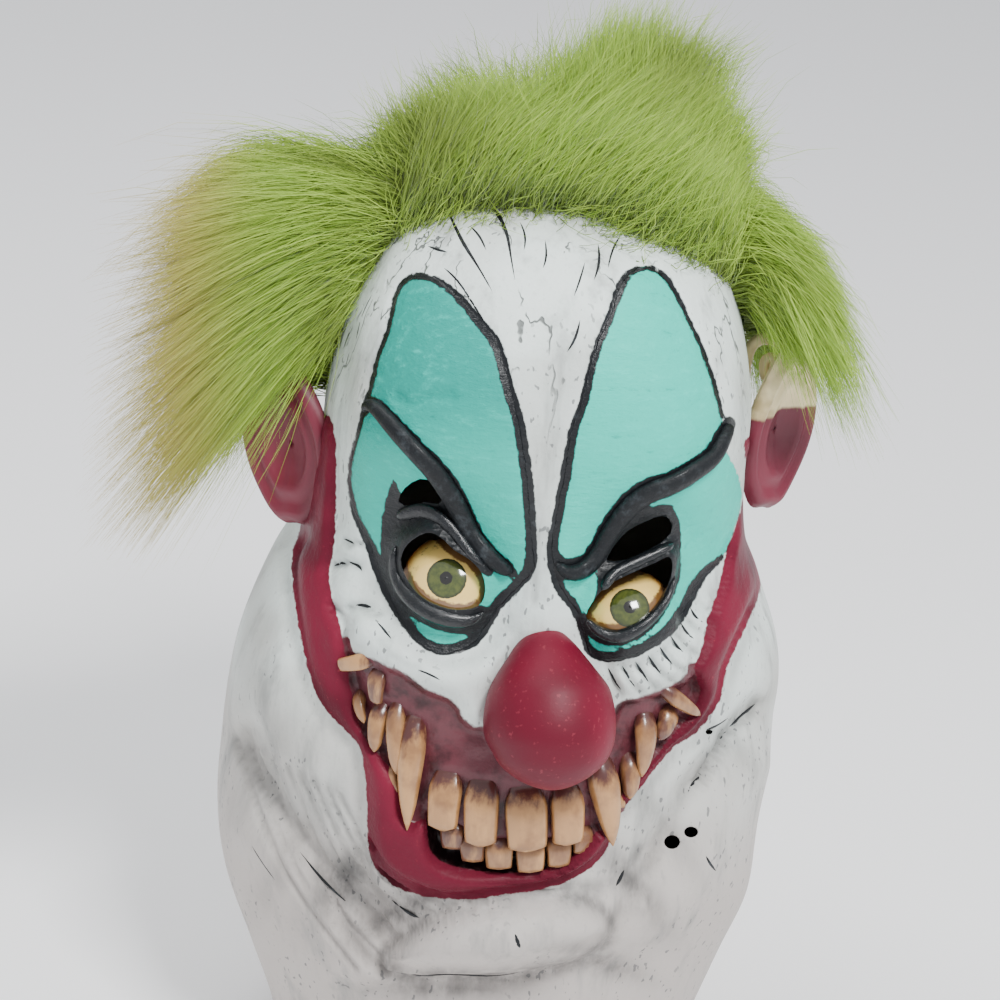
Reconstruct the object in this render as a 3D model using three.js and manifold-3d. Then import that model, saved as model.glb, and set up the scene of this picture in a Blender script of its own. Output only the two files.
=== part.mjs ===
// An overhead clown mask of cast latex, with plastic eye domes and fur tufts.
// Millimetres, +Z up. The face looks along -Y, and left and right are as seen from the front.
// The origin is where the wearer's crown bears against the inside of the mask.

import * as THREE from 'three';
import { mergeVertices } from 'three/addons/utils/BufferGeometryUtils.js';
import Module from 'manifold-3d';

const wasm = await Module();
wasm.setup();

// Driving dimensions of the latex
const MASK_HEIGHT = 420;
const HEAD_HALF_WIDTH = 88;
const FACE_DEPTH = 97;
const BACK_DEPTH = 110;
const WALL = 2.6;
const FACE_WIDTH = 168;
const FACE_HEIGHT = 320;
const RELIEF = 10;

// Driving dimensions of the parts of the face
const NOSE_WIDTH = 54;
const NOSE_HEIGHT = 62;
const NOSE_DEPTH = 56;
const NOSE_STANDOFF = 0.32;
const BROW_THICKNESS = 7;
const LID_THICKNESS = 8;
const LIP_THICKNESS = 15;
const LOWER_LIP_THICKNESS = 22;
const TOOTH_HEIGHT = 24;
const TOOTH_WIDTH = 14;
const TOOTH_FLATNESS = 0.75;
const TOOTH_STANDOFF = 0.15;
const EAR_HEIGHT = 78;
const EAR_DEPTH = 46;
const EAR_THICKNESS = 16;
const EAR_FLARE = THREE.MathUtils.degToRad(50);
const EAR_STANDOFF = 0.3;
const EAR_BOWL = 0.6;
const EAR_BOWL_STANDOFF = 0.62;
const SLOT_WIDTH = 26;
const SLOT_HEIGHT = 12;
const VENT_WIDTH = 6;

// Driving dimensions of the eye domes
const EYE_DIAMETER = 41;
const EYE_BULGE = 15;
const EYE_CLEARANCE = 0.5;
const EYE_SINK = 0.18;

// Driving dimensions of the fur
const FUR_BACKING = 3;
const FUR_CLEARANCE = 0.4;
const LOCK_LENGTH = 100;
const LOCK_THICKNESS = 32;
const LOCK_ARCH = 0.16;
const LOCK_ARCH_SHARE = 0.4;

// Fineness of the meshes
const OUTER_COLUMNS = 36;
const OUTER_RINGS = 31;
const INNER_COLUMNS = 22;
const INNER_RINGS = 17;
const SEAT_COLUMNS = 28;
const SEAT_RINGS = 22;

// The face is laid out on a sheet that stands square to a sight line from above the left brow.
const SIGHT_TURN = THREE.MathUtils.degToRad(-6);
const SIGHT_TILT = THREE.MathUtils.degToRad(25);
const SIGHT_ROLL = THREE.MathUtils.degToRad(4.5);
const SIGHT_DISTANCE = 1100;
const SHEET_ORIGIN = new THREE.Vector3(0, -0.98 * FACE_DEPTH, -0.357 * MASK_HEIGHT);

const sightLine = new THREE.Vector3(
  Math.sin(SIGHT_TURN) * Math.cos(SIGHT_TILT),
  -Math.cos(SIGHT_TURN) * Math.cos(SIGHT_TILT),
  Math.sin(SIGHT_TILT));
const levelRight = new THREE.Vector3(Math.cos(SIGHT_TURN), Math.sin(SIGHT_TURN), 0);
const levelUp = sightLine.clone().cross(levelRight);
const sheetRight = levelRight.clone().multiplyScalar(Math.cos(SIGHT_ROLL))
  .addScaledVector(levelUp, Math.sin(SIGHT_ROLL));
const sheetUp = levelUp.clone().multiplyScalar(Math.cos(SIGHT_ROLL))
  .addScaledVector(levelRight, -Math.sin(SIGHT_ROLL));
const sightPoint = SHEET_ORIGIN.clone().addScaledVector(sightLine, SIGHT_DISTANCE);

// Sections of the bare head, from the crown to the hem. Columns: down is a share of MASK_HEIGHT,
// width and shift of HEAD_HALF_WIDTH, front of FACE_DEPTH, back of BACK_DEPTH.
const SECTIONS = [
  { down: 0.000, width: 0.00, front: 0.00, back: 0.00, shift: 0.00, square: 2.0 },
  { down: 0.008, width: 0.30, front: 0.28, back: 0.32, shift: 0.00, square: 2.0 },
  { down: 0.032, width: 0.56, front: 0.55, back: 0.60, shift: 0.00, square: 2.0 },
  { down: 0.075, width: 0.77, front: 0.78, back: 0.82, shift: 0.00, square: 2.1 },
  { down: 0.140, width: 0.92, front: 0.94, back: 0.96, shift: -0.01, square: 2.2 },
  { down: 0.220, width: 1.00, front: 1.00, back: 1.02, shift: -0.01, square: 2.3 },
  { down: 0.300, width: 1.02, front: 1.00, back: 1.00, shift: -0.02, square: 2.3 },
  { down: 0.380, width: 1.08, front: 0.98, back: 0.92, shift: -0.03, square: 2.2 },
  { down: 0.440, width: 1.22, front: 0.99, back: 0.84, shift: -0.05, square: 2.1 },
  { down: 0.515, width: 1.34, front: 1.02, back: 0.78, shift: -0.05, square: 2.1 },
  { down: 0.600, width: 1.38, front: 1.04, back: 0.75, shift: -0.08, square: 2.1 },
  { down: 0.690, width: 1.39, front: 1.04, back: 0.74, shift: -0.11, square: 2.1 },
  { down: 0.780, width: 1.35, front: 0.98, back: 0.73, shift: -0.11, square: 2.1 },
  { down: 0.860, width: 1.25, front: 0.92, back: 0.72, shift: -0.09, square: 2.1 },
  { down: 0.935, width: 1.14, front: 0.87, back: 0.71, shift: -0.08, square: 2.1 },
  { down: 1.000, width: 1.08, front: 0.84, back: 0.71, shift: -0.07, square: 2.1 },
];

// Swells and hollows of the face and neck on the sheet. Columns: across and wide are shares of
// FACE_WIDTH, up and tall of FACE_HEIGHT, rise of RELIEF, and lean is in degrees.
const SWELLS = [
  { name: 'left brow', across: -0.27, up: 0.20, wide: 0.20, tall: 0.09, lean: -30, rise: 0.45 },
  { name: 'right brow', across: 0.30, up: 0.19, wide: 0.20, tall: 0.09, lean: 35, rise: 0.45 },
  { name: 'left eye hollow', across: -0.27, up: 0.07, wide: 0.15, tall: 0.07, lean: -30, rise: -0.85 },
  { name: 'right eye hollow', across: 0.22, up: 0.04, wide: 0.15, tall: 0.07, lean: 25, rise: -0.85 },
  { name: 'left socket', across: -0.245, up: 0.00, wide: 0.15, tall: 0.06, lean: -10, rise: -0.35 },
  { name: 'right socket', across: 0.195, up: -0.03, wide: 0.15, tall: 0.06, lean: 15, rise: -0.35 },
  { name: 'nose root', across: 0.00, up: -0.01, wide: 0.07, tall: 0.08, lean: 0, rise: 0.6 },
  { name: 'forehead furrow', across: 0.00, up: 0.16, wide: 0.05, tall: 0.16, lean: 0, rise: -0.3 },
  { name: 'left cheek', across: -0.32, up: -0.09, wide: 0.17, tall: 0.05, lean: -20, rise: 0.9 },
  { name: 'right cheek', across: 0.29, up: -0.085, wide: 0.14, tall: 0.045, lean: 25, rise: 0.8 },
  { name: 'muzzle', across: -0.10, up: -0.24, wide: 0.30, tall: 0.12, lean: 0, rise: 1.0 },
  { name: 'chin', across: -0.12, up: -0.425, wide: 0.27, tall: 0.045, lean: 9, rise: 1.7 },
  { name: 'crease under chin', across: -0.12, up: -0.485, wide: 0.30, tall: 0.022, lean: 6, rise: -0.45 },
  { name: 'left mouth corner', across: -0.50, up: -0.12, wide: 0.06, tall: 0.10, lean: 15, rise: -0.4 },
  { name: 'right jaw dent', across: 0.26, up: -0.33, wide: 0.10, tall: 0.05, lean: 40, rise: -0.5 },
  { name: 'left neck roll', across: -0.62, up: -0.16, wide: 0.12, tall: 0.14, lean: 10, rise: 0.6 },
  { name: 'right neck roll', across: 0.42, up: -0.36, wide: 0.12, tall: 0.08, lean: 50, rise: 0.5 },
];

// Folds of the neck skirt. Columns: from and to are across and up shares on the sheet,
// wide is a share of FACE_WIDTH and rise of RELIEF.
const FOLDS = [
  { name: 'left valley', from: [-0.70, -0.20], to: [-0.52, -0.34], wide: 0.08, rise: -0.45 },
  { name: 'left valley foot', from: [-0.48, -0.38], to: [-0.36, -0.43], wide: 0.08, rise: -0.4 },
  { name: 'left ridge', from: [-0.70, -0.30], to: [-0.42, -0.47], wide: 0.05, rise: 0.4 },
  { name: 'right crease', from: [0.50, -0.15], to: [0.34, -0.25], wide: 0.04, rise: -0.5 },
  { name: 'right ridge', from: [0.50, -0.22], to: [0.24, -0.42], wide: 0.05, rise: 0.3 },
];

// Solids and meshes

function mesh(positions, triangles) {
  const geometry = new THREE.BufferGeometry();
  geometry.setAttribute('position', new THREE.Float32BufferAttribute(positions.flatMap((p) => [p.x, p.y, p.z]), 3));
  geometry.setIndex(triangles.flat());
  return geometry;
}

function solid(source) {
  const bare = source.clone();
  bare.deleteAttribute('normal');
  bare.deleteAttribute('uv');
  const merged = mergeVertices(bare, 1e-4);
  return new wasm.Manifold(new wasm.Mesh({
    numProp: 3,
    vertProperties: Float32Array.from(merged.attributes.position.array),
    triVerts: Uint32Array.from(merged.index.array),
  }));
}

function fromSolid(body) {
  const { vertProperties, triVerts } = body.getMesh();
  const geometry = new THREE.BufferGeometry();
  geometry.setAttribute('position', new THREE.BufferAttribute(vertProperties, 3));
  geometry.setIndex(new THREE.BufferAttribute(triVerts, 1));
  geometry.computeVertexNormals();
  return geometry;
}

// A closed body through rings of points that run the same way round, with flat or pointed ends.
function loft(rings) {
  const count = rings[0].length;
  const points = rings.flat();
  const triangles = [];
  for (let r = 0; r < rings.length - 1; r++) {
    for (let i = 0; i < count; i++) {
      const a = r * count + i;
      const b = r * count + (i + 1) % count;
      triangles.push([a, b, b + count], [a, b + count, a + count]);
    }
  }
  const middle = (ring) => ring.reduce((sum, p) => sum.add(p), new THREE.Vector3())
    .divideScalar(count);
  const first = points.push(middle(rings[0])) - 1;
  const last = points.push(middle(rings[rings.length - 1])) - 1;
  const end = (rings.length - 1) * count;
  for (let i = 0; i < count; i++) {
    const next = (i + 1) % count;
    triangles.push([first, next, i], [last, end + i, end + next]);
  }
  return mesh(points, triangles);
}

// The bare head

function curve(a, b, c, d, t) {
  const slopeB = (c - a) / 2;
  const slopeC = (d - b) / 2;
  const t2 = t * t;
  const t3 = t2 * t;
  return (2 * t3 - 3 * t2 + 1) * b + (t3 - 2 * t2 + t) * slopeB
    + (3 * t2 - 2 * t3) * c + (t3 - t2) * slopeC;
}

// The section at a place between the rows of the table: 0 at the crown, 1 at the hem.
function section(place) {
  const at = THREE.MathUtils.clamp(place, 0, 1) * (SECTIONS.length - 1);
  const row = Math.min(Math.floor(at), SECTIONS.length - 2);
  const pick = (name) => {
    const value = (i) => SECTIONS[THREE.MathUtils.clamp(i, 0, SECTIONS.length - 1)][name];
    const before = row === 0 && name !== 'down' && name !== 'square' ? -value(1) : value(row - 1);
    return curve(before, value(row), value(row + 1), value(row + 2), at - row);
  };
  return {
    z: -pick('down') * MASK_HEIGHT,
    halfWidth: Math.max(pick('width'), 0) * HEAD_HALF_WIDTH,
    front: Math.max(pick('front'), 0) * FACE_DEPTH,
    back: Math.max(pick('back'), 0) * BACK_DEPTH,
    centre: pick('shift') * HEAD_HALF_WIDTH,
    square: pick('square'),
  };
}

function placeAtHeight(z) {
  let low = 0;
  let high = 1;
  for (let i = 0; i < 30; i++) {
    const middle = (low + high) / 2;
    if (section(middle).z > z) low = middle;
    else high = middle;
  }
  return (low + high) / 2;
}

// A point of the bare head. Turn is measured from the face, and grows towards the right.
function headPoint(place, turn) {
  const { z, halfWidth, front, back, centre, square } = section(place);
  const sine = Math.sin(turn);
  const cosine = Math.cos(turn);
  const round = (value) => Math.sign(value) * Math.abs(value) ** (2 / square);
  const depth = cosine > 0 ? front : back;
  return new THREE.Vector3(centre + halfWidth * round(sine), -depth * round(cosine), z);
}

function headNormal(place, turn) {
  const step = 1e-3;
  const place0 = THREE.MathUtils.clamp(place, 0.02, 1);
  const along = headPoint(place0 + step, turn).sub(headPoint(place0 - step, turn));
  const round = headPoint(place0, turn + step).sub(headPoint(place0, turn - step));
  return round.cross(along).normalize().negate();
}

function sheetPlace(point) {
  const seen = point.clone().sub(sightPoint);
  const depth = -seen.dot(sightLine);
  return [
    SIGHT_DISTANCE * seen.dot(sheetRight) / depth / FACE_WIDTH,
    SIGHT_DISTANCE * seen.dot(sheetUp) / depth / FACE_HEIGHT,
  ];
}

function inHead(point) {
  if (point.z > 0 || point.z < -MASK_HEIGHT) return false;
  const { halfWidth, front, back, centre, square } = section(placeAtHeight(point.z));
  const depth = point.y < 0 ? front : back;
  return Math.abs((point.x - centre) / halfWidth) ** square + Math.abs(point.y / depth) ** square < 1;
}

function relief(point) {
  const [across, up] = sheetPlace(point);
  let rise = 0;
  for (const swell of SWELLS) {
    const lean = THREE.MathUtils.degToRad(swell.lean);
    const dx = (across - swell.across) * FACE_WIDTH;
    const dy = (up - swell.up) * FACE_HEIGHT;
    const u = (dx * Math.cos(lean) + dy * Math.sin(lean)) / (swell.wide * FACE_WIDTH);
    const v = (dy * Math.cos(lean) - dx * Math.sin(lean)) / (swell.tall * FACE_HEIGHT);
    rise += swell.rise * RELIEF * Math.exp(-(u * u + v * v));
  }
  for (const fold of FOLDS) {
    const start = new THREE.Vector2(fold.from[0] * FACE_WIDTH, fold.from[1] * FACE_HEIGHT);
    const span = new THREE.Vector2(fold.to[0] * FACE_WIDTH, fold.to[1] * FACE_HEIGHT).sub(start);
    const here = new THREE.Vector2(across * FACE_WIDTH, up * FACE_HEIGHT).sub(start);
    const share = THREE.MathUtils.clamp(here.dot(span) / span.lengthSq(), 0, 1);
    const off = here.addScaledVector(span, -share).length() / (fold.wide * FACE_WIDTH);
    rise += fold.rise * RELIEF * Math.exp(-off * off);
  }
  return rise;
}

// How far a point of the head faces the sight line: relief fades away towards the back.
function facing(normal) {
  return THREE.MathUtils.smoothstep(normal.dot(sightLine), -0.1, 0.35);
}

// The point of the latex under a place on the sheet, with its normal.
function onFace(across, up, lift = 0) {
  const ray = sheetRight.clone().multiplyScalar(across * FACE_WIDTH)
    .addScaledVector(sheetUp, up * FACE_HEIGHT)
    .addScaledVector(sightLine, -SIGHT_DISTANCE).normalize();
  const start = SIGHT_DISTANCE - 2 * FACE_DEPTH;
  const step = 2;
  let travel = start;
  const at = (length) => sightPoint.clone().addScaledVector(ray, length);
  while (!inHead(at(travel)) && travel < SIGHT_DISTANCE + 2 * BACK_DEPTH) travel += step;
  let near = travel - step;
  for (let i = 0; i < 12; i++) {
    const middle = (near + travel) / 2;
    if (inHead(at(middle))) travel = middle;
    else near = middle;
  }
  const point = at(travel);
  const { halfWidth, front, back, centre, square } = section(placeAtHeight(point.z));
  const bend = (value) => Math.sign(value) * Math.min(Math.abs(value), 1) ** (square / 2);
  const depth = point.y < 0 ? front : back;
  const turn = Math.atan2(bend((point.x - centre) / halfWidth), bend(-point.y / depth));
  const normal = headNormal(placeAtHeight(point.z), turn);
  point.addScaledVector(normal, relief(point) * facing(normal) + lift);
  return { point, normal };
}

// How far the latex stands off the bare head. Relief fades out towards the flat hem.
function skinRise(place, turn) {
  const fade = THREE.MathUtils.smoothstep(1 - place, 0, 0.08);
  return relief(headPoint(place, turn)) * facing(headNormal(place, turn)) * fade;
}

// A point of the latex, lifted off it along its normal. With a reach in place and turn, it keeps
// under the lowest latex within that reach.
function skinPoint(place, turn, lift, reach = [0, 0]) {
  let rise = skinRise(place, turn);
  for (const [down, round] of [[-1, 0], [1, 0], [0, -1], [0, 1]]) {
    if (reach[0] > 0) rise = Math.min(rise, skinRise(place + down * reach[0], turn + round * reach[1]));
  }
  return headPoint(place, turn).addScaledVector(headNormal(place, turn), rise + lift);
}

// A closed body of the head's form, set in by a distance.
function headBody(columns, rings, inset, overhang) {
  const reach = inset > 0 ? [0.4 / rings, 0.8 * Math.PI / columns] : [0, 0];
  const turns = [];
  for (let i = 0; i < columns; i++) {
    const t = 1 - 2 * i / columns;
    turns.push(Math.PI * (0.72 * t + 0.28 * t ** 3));
  }
  const ringsOfPoints = [];
  for (let r = 1; r <= rings; r++) {
    ringsOfPoints.push(turns.map((turn) => {
      const point = skinPoint(r / rings, turn, -inset, reach);
      if (r === rings) point.z = -MASK_HEIGHT - overhang;
      return point;
    }));
  }
  return solid(loft(ringsOfPoints));
}

// Forms that stand on the face

// A ridge of a round section along a line on the sheet. Points are across and up shares. Its ends
// taper to a share of the thickness.
const RIDGE_END = 0.08;
const RIDGE_TIP = 0.35;

function ridge(line, thickness, lift, steps) {
  const path = new THREE.CatmullRomCurve3(line.map(([across, up]) => onFace(across, up, lift).point));
  const sides = 5;
  const rings = [];
  const frames = path.computeFrenetFrames(steps, false);
  for (let s = 0; s <= steps; s++) {
    const end = Math.sin(Math.PI * THREE.MathUtils.lerp(RIDGE_END, 1 - RIDGE_END, s / steps));
    const radius = thickness / 2 * Math.min(1, RIDGE_TIP + end);
    const centre = path.getPointAt(s / steps);
    rings.push(Array.from({ length: sides }, (_, i) => {
      const angle = 2 * Math.PI * i / sides;
      return centre.clone()
        .addScaledVector(frames.normals[s], radius * Math.cos(angle))
        .addScaledVector(frames.binormals[s], radius * Math.sin(angle));
    }));
  }
  return solid(loft(rings));
}

function ellipsoid(width, depth, height, across, around) {
  const ball = new THREE.SphereGeometry(0.5, across, around);
  ball.scale(width, depth, height);
  return ball;
}

// Sets a form that looks along -Y onto the face, looking outward and spun about that line.
function setOn(geometry, position, outward, spin = 0) {
  const turn = new THREE.Quaternion().setFromUnitVectors(new THREE.Vector3(0, -1, 0), outward);
  const roll = new THREE.Quaternion().setFromAxisAngle(outward, spin);
  geometry.applyQuaternion(roll.multiply(turn));
  geometry.translate(position.x, position.y, position.z);
  return geometry;
}

const BROWS = [
  [[-0.41, 0.23], [-0.31, 0.17], [-0.215, 0.11], [-0.16, 0.055], [-0.09, 0.022]],
  [[0.43, 0.205], [0.385, 0.165], [0.29, 0.13], [0.185, 0.10], [0.12, 0.05], [0.045, 0.022]],
];

const LIDS = [
  [[-0.37, 0.075], [-0.32, 0.09], [-0.23, 0.075], [-0.165, 0.025]],
  [[-0.36, 0.04], [-0.345, 0.00], [-0.27, -0.038], [-0.18, -0.045], [-0.145, -0.01]],
  [[0.105, -0.005], [0.17, 0.03], [0.24, 0.055], [0.31, 0.045]],
  [[0.085, -0.035], [0.14, -0.058], [0.23, -0.045], [0.31, 0.00]],
];

const LOWER_LIP = [[-0.41, -0.24], [-0.38, -0.33], [-0.27, -0.36], [-0.12, -0.365], [0.04, -0.35],
  [0.115, -0.32], [0.14, -0.29]];

const LIP_BANDS = [
  [[-0.545, 0.10], [-0.55, 0.03], [-0.55, -0.04], [-0.52, -0.11], [-0.465, -0.165],
    [-0.41, -0.21], [-0.395, -0.28], [-0.375, -0.33], [-0.30, -0.36]],
  [[0.465, 0.09], [0.475, 0.04], [0.47, -0.01], [0.43, -0.07], [0.39, -0.125],
    [0.31, -0.18], [0.21, -0.235]],
];

// Teeth. Columns: across and up are the middle of the root's edge on the sheet, wide is a share
// of TOOTH_WIDTH and tall of TOOTH_HEIGHT, lean is in degrees and tip the width left at the tip.
const TEETH = [
  { across: -0.415, up: -0.105, wide: 0.5, tall: 0.45, lean: -20, tip: 0.7 },
  { across: -0.40, up: -0.155, wide: 0.5, tall: 0.8, lean: 12, tip: 0.5 },
  { across: -0.36, up: -0.150, wide: 0.6, tall: 1.15, lean: 8, tip: 0.45 },
  { across: -0.32, up: -0.165, wide: 0.85, tall: 1.75, lean: 2, tip: 0.3 },
  { across: -0.24, up: -0.215, wide: 0.95, tall: 1.0, lean: 10, tip: 0.9 },
  { across: -0.155, up: -0.235, wide: 1.05, tall: 1.15, lean: 4, tip: 0.95 },
  { across: -0.055, up: -0.24, wide: 1.15, tall: 1.15, lean: 0, tip: 0.95 },
  { across: 0.04, up: -0.24, wide: 0.95, tall: 1.0, lean: -6, tip: 0.9 },
  { across: 0.12, up: -0.21, wide: 0.85, tall: 1.4, lean: -12, tip: 0.3 },
  { across: 0.185, up: -0.20, wide: 0.6, tall: 0.8, lean: -20, tip: 0.5 },
  { across: 0.225, up: -0.17, wide: 0.7, tall: 1.0, lean: -18, tip: 0.45 },
  { across: 0.27, up: -0.145, wide: 0.6, tall: 0.8, lean: -30, tip: 0.4 },
  { across: -0.14, up: -0.315, wide: 0.95, tall: 0.5, lean: 4, tip: 0.9 },
  { across: -0.045, up: -0.32, wide: 1.0, tall: 0.5, lean: 0, tip: 0.9 },
  { across: 0.035, up: -0.31, wide: 0.85, tall: 0.5, lean: -6, tip: 0.9 },
];

function tooth({ across, up, wide, tall, lean, tip }) {
  const width = wide * TOOTH_WIDTH;
  const height = tall * TOOTH_HEIGHT;
  const body = new THREE.CylinderGeometry(width / 2, tip * width / 2, height, 5, 1);
  body.rotateX(Math.PI / 2);
  body.scale(1, TOOTH_FLATNESS, 1);
  const { point, normal } = onFace(across, up - 0.5 * height / FACE_HEIGHT, TOOTH_STANDOFF * TOOTH_WIDTH);
  return solid(setOn(body, point, normal, THREE.MathUtils.degToRad(lean)));
}

const NOSE_PLACE = { across: -0.013, up: -0.127 };

function nose() {
  const { point, normal } = onFace(NOSE_PLACE.across, NOSE_PLACE.up);
  const ball = ellipsoid(NOSE_WIDTH, NOSE_DEPTH, NOSE_HEIGHT, 13, 8);
  point.addScaledVector(normal, NOSE_STANDOFF * NOSE_DEPTH);
  return solid(setOn(ball, point, normal));
}

const EARS = [
  { side: -1, place: 0.40, turn: -86 },
  { side: 1, place: 0.37, turn: 86 },
];

// An ear: a leaf that flares back from the head, with its bowl cut in front. A grown one has no bowl.
function ear({ side, place, turn }, growth) {
  const root = headPoint(place, THREE.MathUtils.degToRad(turn));
  const set = (form) => {
    form.rotateZ(-side * EAR_FLARE);
    form.translate(root.x + side * EAR_STANDOFF * EAR_DEPTH, root.y, root.z);
    return solid(form);
  };
  const leaf = set(ellipsoid(EAR_THICKNESS + 2 * growth, EAR_DEPTH + 2 * growth,
    EAR_HEIGHT + 2 * growth, 10, 7));
  if (growth > 0) return leaf;
  const bowl = ellipsoid(EAR_THICKNESS, EAR_BOWL * EAR_DEPTH, EAR_BOWL * EAR_HEIGHT, 8, 5);
  bowl.translate(-side * EAR_BOWL_STANDOFF * EAR_THICKNESS, 0, 0);
  return leaf.subtract(set(bowl));
}

// The eye domes and what they sit in

const EYES = [
  { name: 'eyeball_left', across: -0.243, up: 0.002 },
  { name: 'eyeball_right', across: 0.203, up: -0.036 },
];

function eyeDome({ across, up }, clearance) {
  const radius = EYE_DIAMETER / 2;
  const ball = (radius ** 2 + EYE_BULGE ** 2) / (2 * EYE_BULGE) + clearance;
  const rim = Math.asin((radius + clearance) / ball);
  const steps = 5;
  const profile = [new THREE.Vector2(0, -clearance)];
  const rise = ball * Math.cos(rim);
  for (let i = 0; i <= steps; i++) {
    const angle = rim * (1 - i / steps);
    const y = ball * Math.cos(angle) - rise;
    profile.push(new THREE.Vector2(ball * Math.sin(angle), i === 0 ? -clearance : y));
  }
  profile[profile.length - 1].x = 0;
  const dome = new THREE.LatheGeometry(profile, 16);
  dome.rotateX(Math.PI);
  const { point, normal } = onFace(across, up);
  point.addScaledVector(normal, -EYE_SINK * EYE_BULGE);
  return solid(setOn(dome, point, normal));
}

const SLOTS = [
  { across: -0.30, up: 0.105, lean: 20 },
  { across: 0.225, up: 0.065, lean: -22 },
];

const VENTS = [
  { across: 0.295, up: -0.315 },
  { across: 0.34, up: -0.303 },
];

function slot({ across, up, lean }) {
  const shape = new THREE.Shape();
  shape.absellipse(0, 0, SLOT_WIDTH / 2, SLOT_HEIGHT / 2, 0, 2 * Math.PI, false, 0);
  const depth = FACE_DEPTH;
  const cutter = new THREE.ExtrudeGeometry(shape, { depth, bevelEnabled: false, curveSegments: 6 });
  cutter.translate(0, 0, -depth / 2);
  cutter.rotateX(Math.PI / 2);
  cutter.rotateY(THREE.MathUtils.degToRad(lean));
  const { point } = onFace(across, up);
  cutter.translate(point.x, point.y, point.z);
  return solid(cutter);
}

function vent({ across, up }) {
  const cutter = new THREE.CylinderGeometry(VENT_WIDTH / 2, VENT_WIDTH / 2, 10 * WALL, 10);
  const { point, normal } = onFace(across, up);
  return solid(setOn(cutter, point, normal));
}

// The latex

function maskShell() {
  let body = headBody(OUTER_COLUMNS, OUTER_RINGS, 0, 0);
  const forms = [nose(), ...EARS.map((row) => ear(row, 0))];
  for (const line of BROWS) forms.push(ridge(line, BROW_THICKNESS, 1, 7));
  for (const line of LIDS) forms.push(ridge(line, LID_THICKNESS, 1, 5));
  for (const line of LIP_BANDS) forms.push(ridge(line, LIP_THICKNESS, -1, Math.round(1.2 * line.length)));
  forms.push(ridge(LOWER_LIP, LOWER_LIP_THICKNESS, -2, 8));
  for (const row of TEETH) forms.push(tooth(row));
  for (const form of forms) body = body.add(form);
  let hollow = headBody(INNER_COLUMNS, INNER_RINGS, WALL, 10);
  for (const eye of EYES) hollow = hollow.subtract(eyeDome(eye, EYE_CLEARANCE + WALL));
  body = body.subtract(hollow);
  for (const eye of EYES) body = body.subtract(eyeDome(eye, EYE_CLEARANCE));
  for (const row of SLOTS) body = body.subtract(slot(row));
  for (const row of VENTS) body = body.subtract(vent(row));
  return body;
}

// The fur

// The crown fur's backing lies above a plane that falls from the hairline to the back of the head.
const HAIRLINE_FRONT = 0.27;
const HAIRLINE_DOWN = 0.012;
const HAIRLINE_FALL = THREE.MathUtils.degToRad(39);

// The side tufts' backings are ovals over the ears. Columns: back and wide are shares of
// BACK_DEPTH, down and tall of MASK_HEIGHT.
const SIDE_PATCH = { back: 0.07, down: 0.165, wide: 0.33, tall: 0.105 };

// Locks of fur in rows. A row runs from one root to another in count steps. Columns: from and to
// are the roots as place and turn, first and last are the runs of the first and last lock as
// shares of LOCK_LENGTH, and thick is a share of LOCK_THICKNESS.
const LOCK_ROWS = {
  hair_crown: [
    { from: [0.07, -75], to: [0.07, 75], count: 5, thick: 1.0,
      first: [-0.40, 0.10, 0.04], last: [0.32, 0.05, 0.15] },
    { from: [0.13, -95], to: [0.13, -150], count: 2, thick: 1.3,
      first: [-0.42, 0.05, 0.12], last: [-0.20, 0.20, 0.25] },
    { from: [0.03, -120], to: [0.04, 60], count: 2, thick: 1.3,
      first: [-0.30, 0.05, 0.24], last: [0.14, 0.05, 0.50] },
    { from: [0.07, 60], to: [0.09, 150], count: 3, thick: 1.35,
      first: [0.22, -0.02, 0.66], last: [0.20, 0.12, 0.56] },
    { from: [0.14, 85], to: [0.16, 150], count: 3, thick: 1.25,
      first: [0.30, 0.00, 0.22], last: [0.10, 0.28, 0.20] },
    { from: [0.19, 118], to: [0.19, 242], count: 3, thick: 1.4,
      first: [0.20, 0.08, -0.20], last: [-0.20, 0.08, -0.20] },
    { from: [0.27, 130], to: [0.27, 230], count: 3, thick: 1.5,
      first: [0.14, 0.14, -0.42], last: [-0.14, 0.14, -0.42] },
  ],
  hair_left: [
    { from: [0.18, -85], to: [0.33, -80], count: 3, thick: 1.2,
      first: [-1.00, -0.10, -0.10], last: [-0.70, -0.10, -0.80] },
    { from: [0.185, -98], to: [0.33, -95], count: 4, thick: 1.35,
      first: [-1.10, 0.05, 0.02], last: [-0.85, 0.05, -0.85] },
    { from: [0.235, -104], to: [0.32, -106], count: 2, thick: 1.5,
      first: [-0.90, 0.30, -0.05], last: [-0.60, 0.25, -0.75] },
  ],
  hair_right: [
    { from: [0.18, 85], to: [0.28, 78], count: 2, thick: 1.1,
      first: [0.65, -0.05, -0.45], last: [0.50, -0.05, -0.55] },
    { from: [0.17, 98], to: [0.30, 95], count: 3, thick: 1.2,
      first: [0.70, 0.08, -0.42], last: [0.50, 0.05, -0.60] },
    { from: [0.20, 108], to: [0.30, 106], count: 2, thick: 1.1,
      first: [0.50, 0.25, -0.40], last: [0.35, 0.20, -0.60] },
  ],
};

function grownHead(growth, columns, rings) {
  return headBody(columns, rings, -growth, 0);
}

// The room above the hairline plane, set up by a gap.
function crownRoom(gap) {
  const size = 4 * HEAD_HALF_WIDTH;
  const block = new THREE.BoxGeometry(size, 2 * size, size);
  block.translate(0, 0, size / 2 + gap);
  block.rotateX(-HAIRLINE_FALL);
  block.translate(0, -HAIRLINE_FRONT * FACE_DEPTH, -HAIRLINE_DOWN * MASK_HEIGHT);
  return solid(block);
}

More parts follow.
